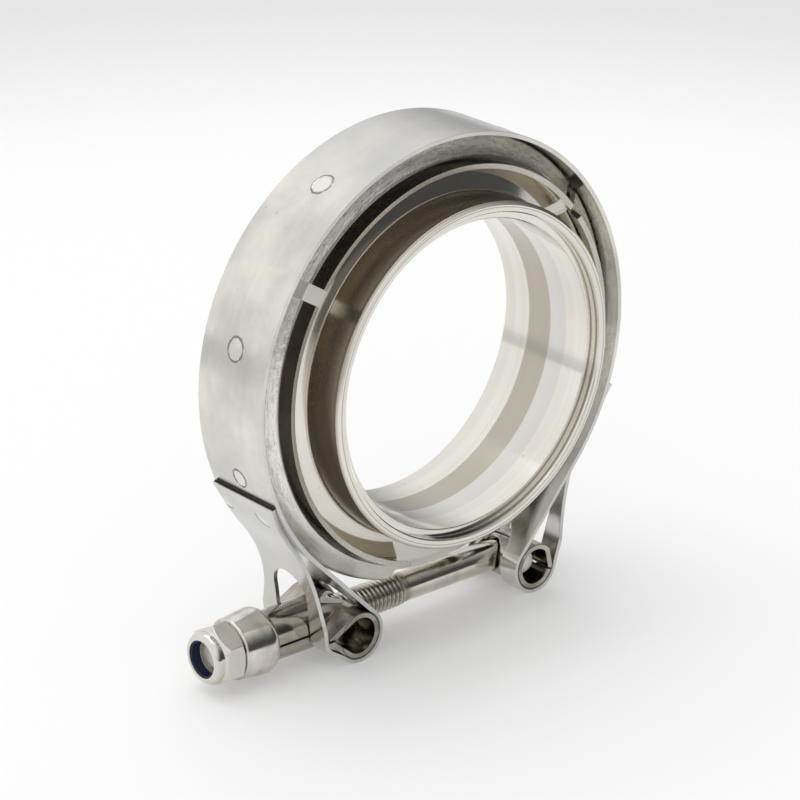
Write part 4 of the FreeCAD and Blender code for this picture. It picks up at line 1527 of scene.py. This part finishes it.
@dataclass
class Studio:
    """Pale floor, soft light and the camera."""

    floor_height: float
    floor_reach: float = 3.0
    floor_near: Colour = (0.93, 0.93, 0.932)
    # Painted shade: the paper's colour darkens with distance.
    floor_far_shade: Colour = (0.76, 0.76, 0.765)
    floor_fade: Span = (0.32, 0.55)
    floor_glow: float = 0.25
    floor_roughness: float = 0.6
    floor_gloss: float = 0.1
    white: Colour = (1.0, 1.0, 1.0)
    tent_side: Sequence[float] = (-0.52, 0.46, 0.72)
    tent_fade: Span = (-0.46, 0.56)
    tent_light: Span = (0.07, 1.02)
    key_place: Sequence[float] = (0.05, 0.2, 0.95)
    key_size: float = 0.95
    key_power: float = 3.05
    target: Sequence[float] = (-0.00512, 0.0, -0.01052)
    azimuth: float = -41.05
    elevation: float = 23.17
    distance: float = 0.763
    lens: float = 150.2
    sensor_width: float = 36.0
    nearest: float = 0.01

    def floor_material(self) -> bpy.types.Material:
        """White paper with painted shade that darkens it far away, and looks a little brighter than it
        lights.

        Returns:
            The material.
        """
        material, graph = new_material("floor_paper")
        far = graph.remap(graph.vector("LENGTH", graph.place()), self.floor_fade)
        paper = graph.add("BsdfPrincipled", {
            "Base Color": graph.mix(far, self.floor_near, self.floor_far_shade),
            "Roughness": self.floor_roughness, "Specular IOR Level": self.floor_gloss})
        glow = graph.add("Emission", {"Color": graph.mix(far, self.white, self.floor_far_shade),
                                      "Strength": 1.0})
        path = graph.add("LightPath").outputs
        seen = graph.most([path["Is Camera Ray"], path["Is Glossy Ray"],
                           path["Is Transmission Ray"]])
        both = graph.add("MixShader", {0: graph.product(seen, self.floor_glow),
                                       1: paper.outputs[0], 2: glow.outputs[0]})
        graph.add("OutputMaterial", {"Surface": both.outputs[0]})
        return material

    def floor(self) -> bpy.types.Object:
        """Large level sheet under the object.

        Returns:
            The floor.
        """
        mesh = bmesh.new()
        bmesh.ops.create_grid(mesh, x_segments=2, y_segments=2, size=self.floor_reach,
                              matrix=Matrix.Translation((0, 0, self.floor_height)))
        data = mesh_data("floor", mesh)
        data.materials.append(self.floor_material())
        floor = scene_object("floor", data)
        floor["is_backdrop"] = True
        return floor

    def world(self) -> None:
        """White tent above, behind and on the left, open to a darker room in front."""
        world = bpy.data.worlds.new("studio")
        bpy.context.scene.world = world
        world.use_nodes = True
        graph = Graph(world.node_tree)
        graph.tree.nodes.clear()
        direction = graph.add("TexCoord").outputs["Generated"]
        toward = graph.vector("DOT_PRODUCT", direction, Vector(self.tent_side).normalized())
        level = graph.remap(toward, self.tent_fade, self.tent_light)
        light = graph.add("Background", {"Color": opaque(self.white), "Strength": level})
        graph.add("OutputWorld", {"Surface": light.outputs[0]})

    def key_lamp(self) -> None:
        """Add a soft square lamp that faces the object."""
        data = bpy.data.lights.new("key_lamp", "AREA")
        data.size = self.key_size
        data.energy = self.key_power
        lamp = scene_object("key_lamp", data)
        lamp.location = self.key_place
        toward = Vector(self.target) - Vector(self.key_place)
        lamp.rotation_euler = toward.to_track_quat("-Z", "Y").to_euler()

    def camera(self) -> None:
        """Stand the camera where the photograph was taken from."""
        turn, rise = math.radians(self.azimuth), math.radians(self.elevation)
        back = Vector((math.sin(turn) * math.cos(rise), -math.cos(turn) * math.cos(rise),
                       math.sin(rise)))
        data = bpy.data.cameras.new("camera")
        data.lens = self.lens
        data.sensor_width = self.sensor_width
        data.clip_start = self.nearest
        camera = scene_object("camera", data)
        camera.location = Vector(self.target) + back * self.distance
        camera.rotation_euler = back.to_track_quat("Z", "Y").to_euler()
        bpy.context.scene.camera = camera

    def build(self) -> None:
        """Set the whole stage."""
        self.floor()
        self.world()
        self.key_lamp()
        self.camera()
        bpy.context.scene.view_settings.view_transform = "Standard"


def dress_nodes(frame: dict, materials: dict[str, bpy.types.Material]) -> None:
    """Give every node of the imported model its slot's finish.

    Args:
        materials: Material of each slot.
    """
    slots = {piece["node"]: piece["material_slot"] for piece in frame["record"]["subparts"]}
    for name, node in frame["nodes"].items():
        node.data.materials.clear()
        node.data.materials.append(materials[slots[name]])
        LOG.info("%s: %s", name, slots[name])


def object_box() -> list[list[float]]:
    """Lowest and highest corners of everything that is part of the object."""
    return [list(corner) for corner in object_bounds()]


def main() -> None:
    """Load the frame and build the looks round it."""
    logging.basicConfig(level=logging.INFO, format="%(message)s")
    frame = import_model()
    cad_box = object_box()
    effects = Effects()
    materials = {finish.slot: finish.build(effects) for finish in finishes()}
    dress_nodes(frame, materials)
    ThreadedBolt().build(materials)
    WeldMarks().build(materials)
    Studio(floor_height=cad_box[0][2]).build()


if __name__ == "__main__":
    main()
